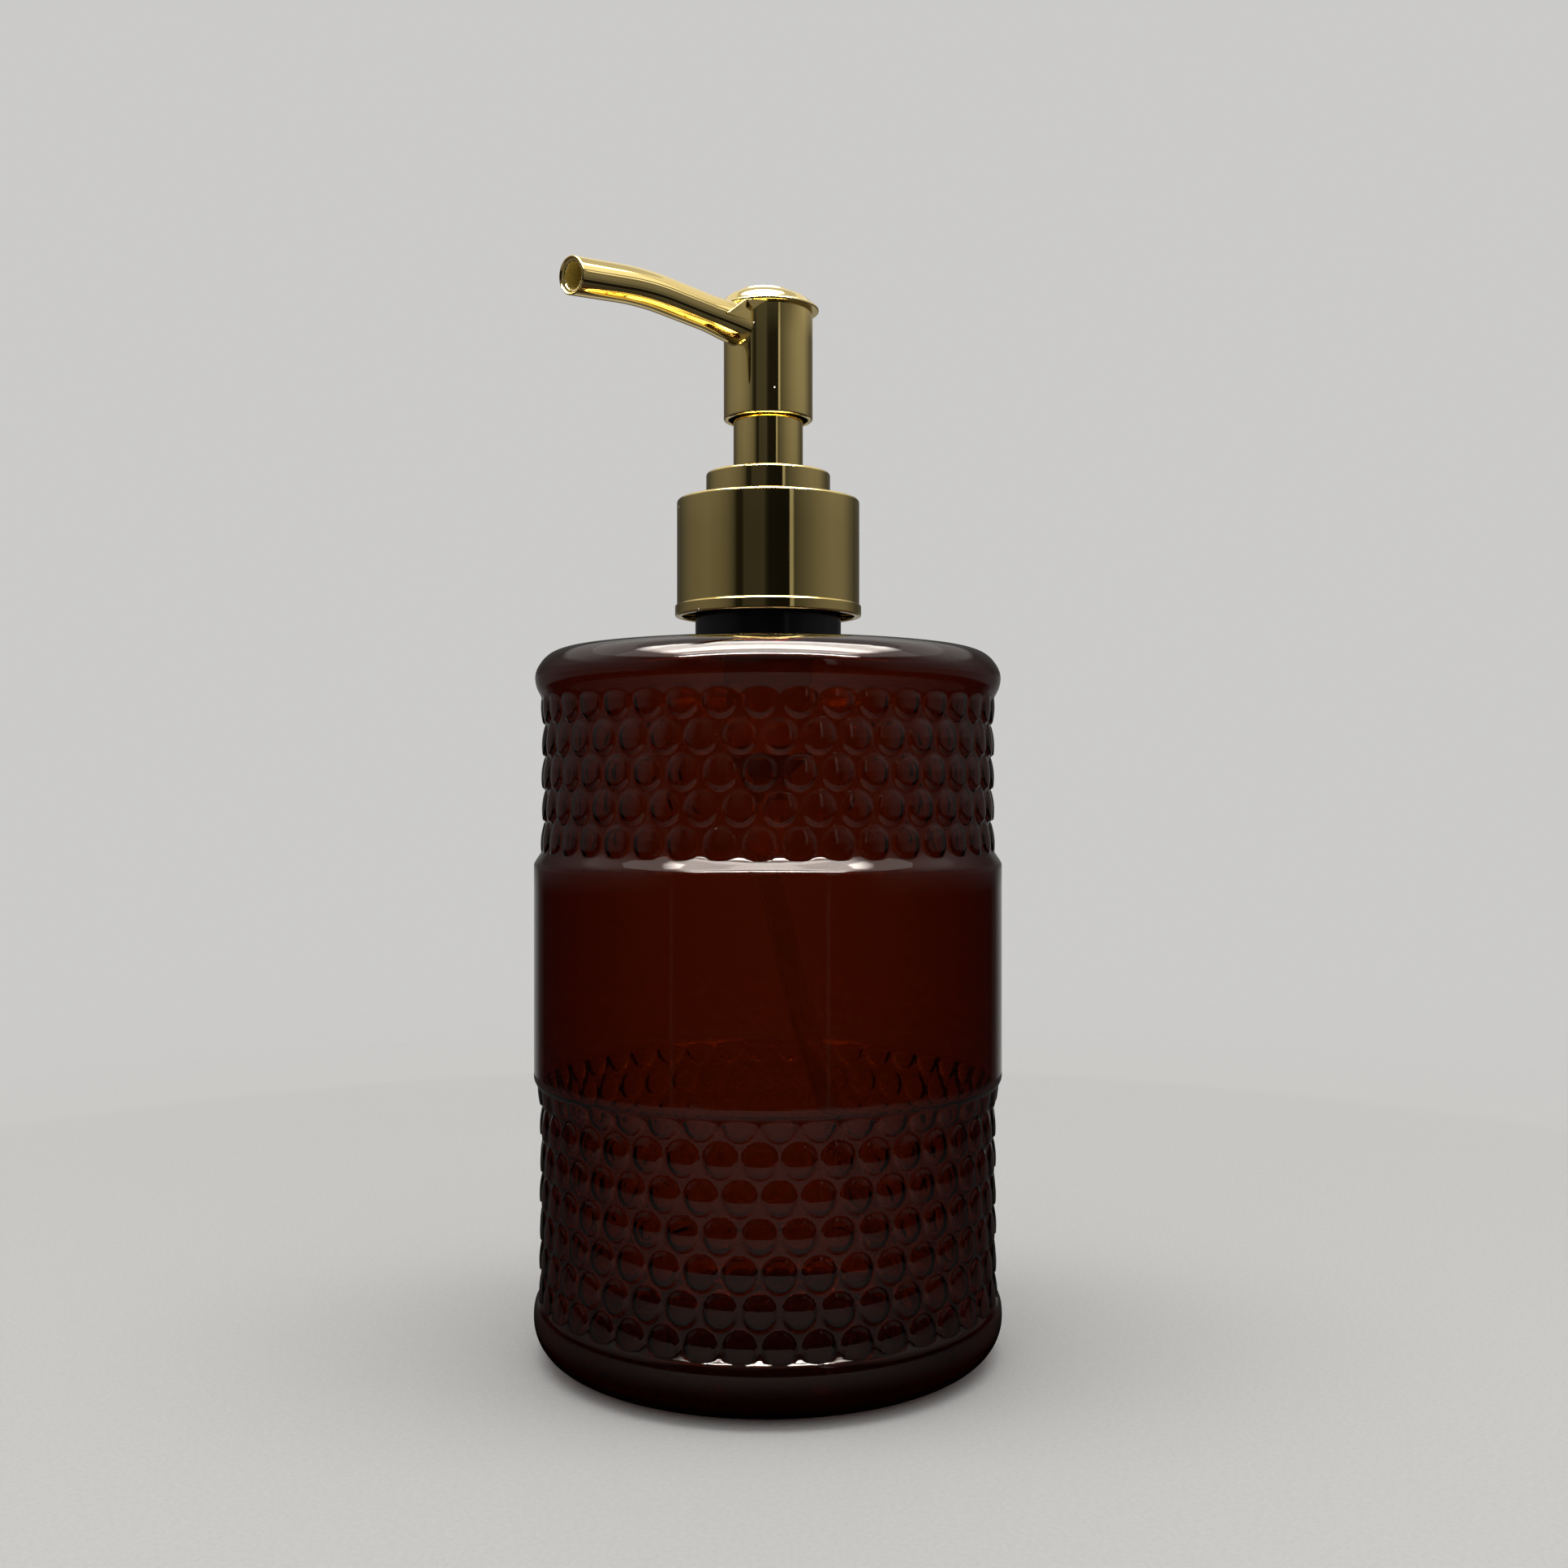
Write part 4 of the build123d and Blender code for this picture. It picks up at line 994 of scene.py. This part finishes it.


# These faces glow only for reflections and rays through the bottle and light nothing: the glints they give
# are painted highlights.
# Lamps as reflections see them, and rays through the bottle: distance towards the photo's camera, radiance,
# reach sideways.
LAMP_HEIGHT, LAMP_HALF_WIDTH = 0.62, 0.9
LAMP_EDGE, BESIDE_LAMP = 0.08, 1.2      # soft edge, most radiance beyond the lamp's reach
HIGHLIGHT_ROWS = [
    (0.415, 0, 0.8), (0.410, 30, 0.8), (0.365, 30, 0.8), (0.360, 3, 0.36), (0.315, 3, 0.36),
    (0.310, 12, 0.36), (0.275, 10, 0.36), (0.27, 7, 0.36), (0.20, 7, 0.36), (0.195, 22, 0.36),
    (0.10, 18, 0.36), (0.09, 11, 0.36), (0.0, 10, 0.36), (-0.01, 14, 0.36), (-0.06, 12, 0.36),
    (-0.09, 0.5, 0.36),
]


def make_highlight_faces():
    points, greys, faces = [], [], []
    columns = 91
    for back, grey, reach in HIGHLIGHT_ROWS:
        for j in range(columns):
            side = (j / (columns - 1) * 2 - 1) * LAMP_HALF_WIDTH
            spot = VIEW_BACK * back + VIEW_RIGHT * side
            points.append((spot.x, spot.y, LAMP_HEIGHT))
            inside = min(1.0, max(0.0, (reach - abs(side)) / LAMP_EDGE + 0.5))
            greys.append(grey * inside + min(grey, BESIDE_LAMP) * (1 - inside))
    for i in range(len(HIGHLIGHT_ROWS) - 1):
        for j in range(columns - 1):
            k = i * columns + j
            faces.append((k, k + 1, k + columns + 1, k + columns))
    item = stage_object("highlight_faces", points, faces, glow_material("highlight_paint"))
    only_reflections(item, greys)
    item.visible_transmission = True


def area_light(name, place, size, size_y, radiance):
    data = bpy.data.lights.new(name, "AREA")
    data.shape = "RECTANGLE"
    data.size, data.size_y = size, size_y
    data.energy = radiance * math.pi * size * size_y
    item = bpy.data.objects.new(name, data)
    item.location = place
    item.rotation_euler = (0, 0, math.radians(45))
    bpy.context.scene.collection.objects.link(item)
    return item


make_floor()
make_screen()
make_highlight_faces()
lamp = area_light("ceiling_light", VIEW_BACK * 0.05 + Vector((0, 0, 1.0)), size=0.3, size_y=1.1, radiance=4.0)
lamp.visible_glossy = False
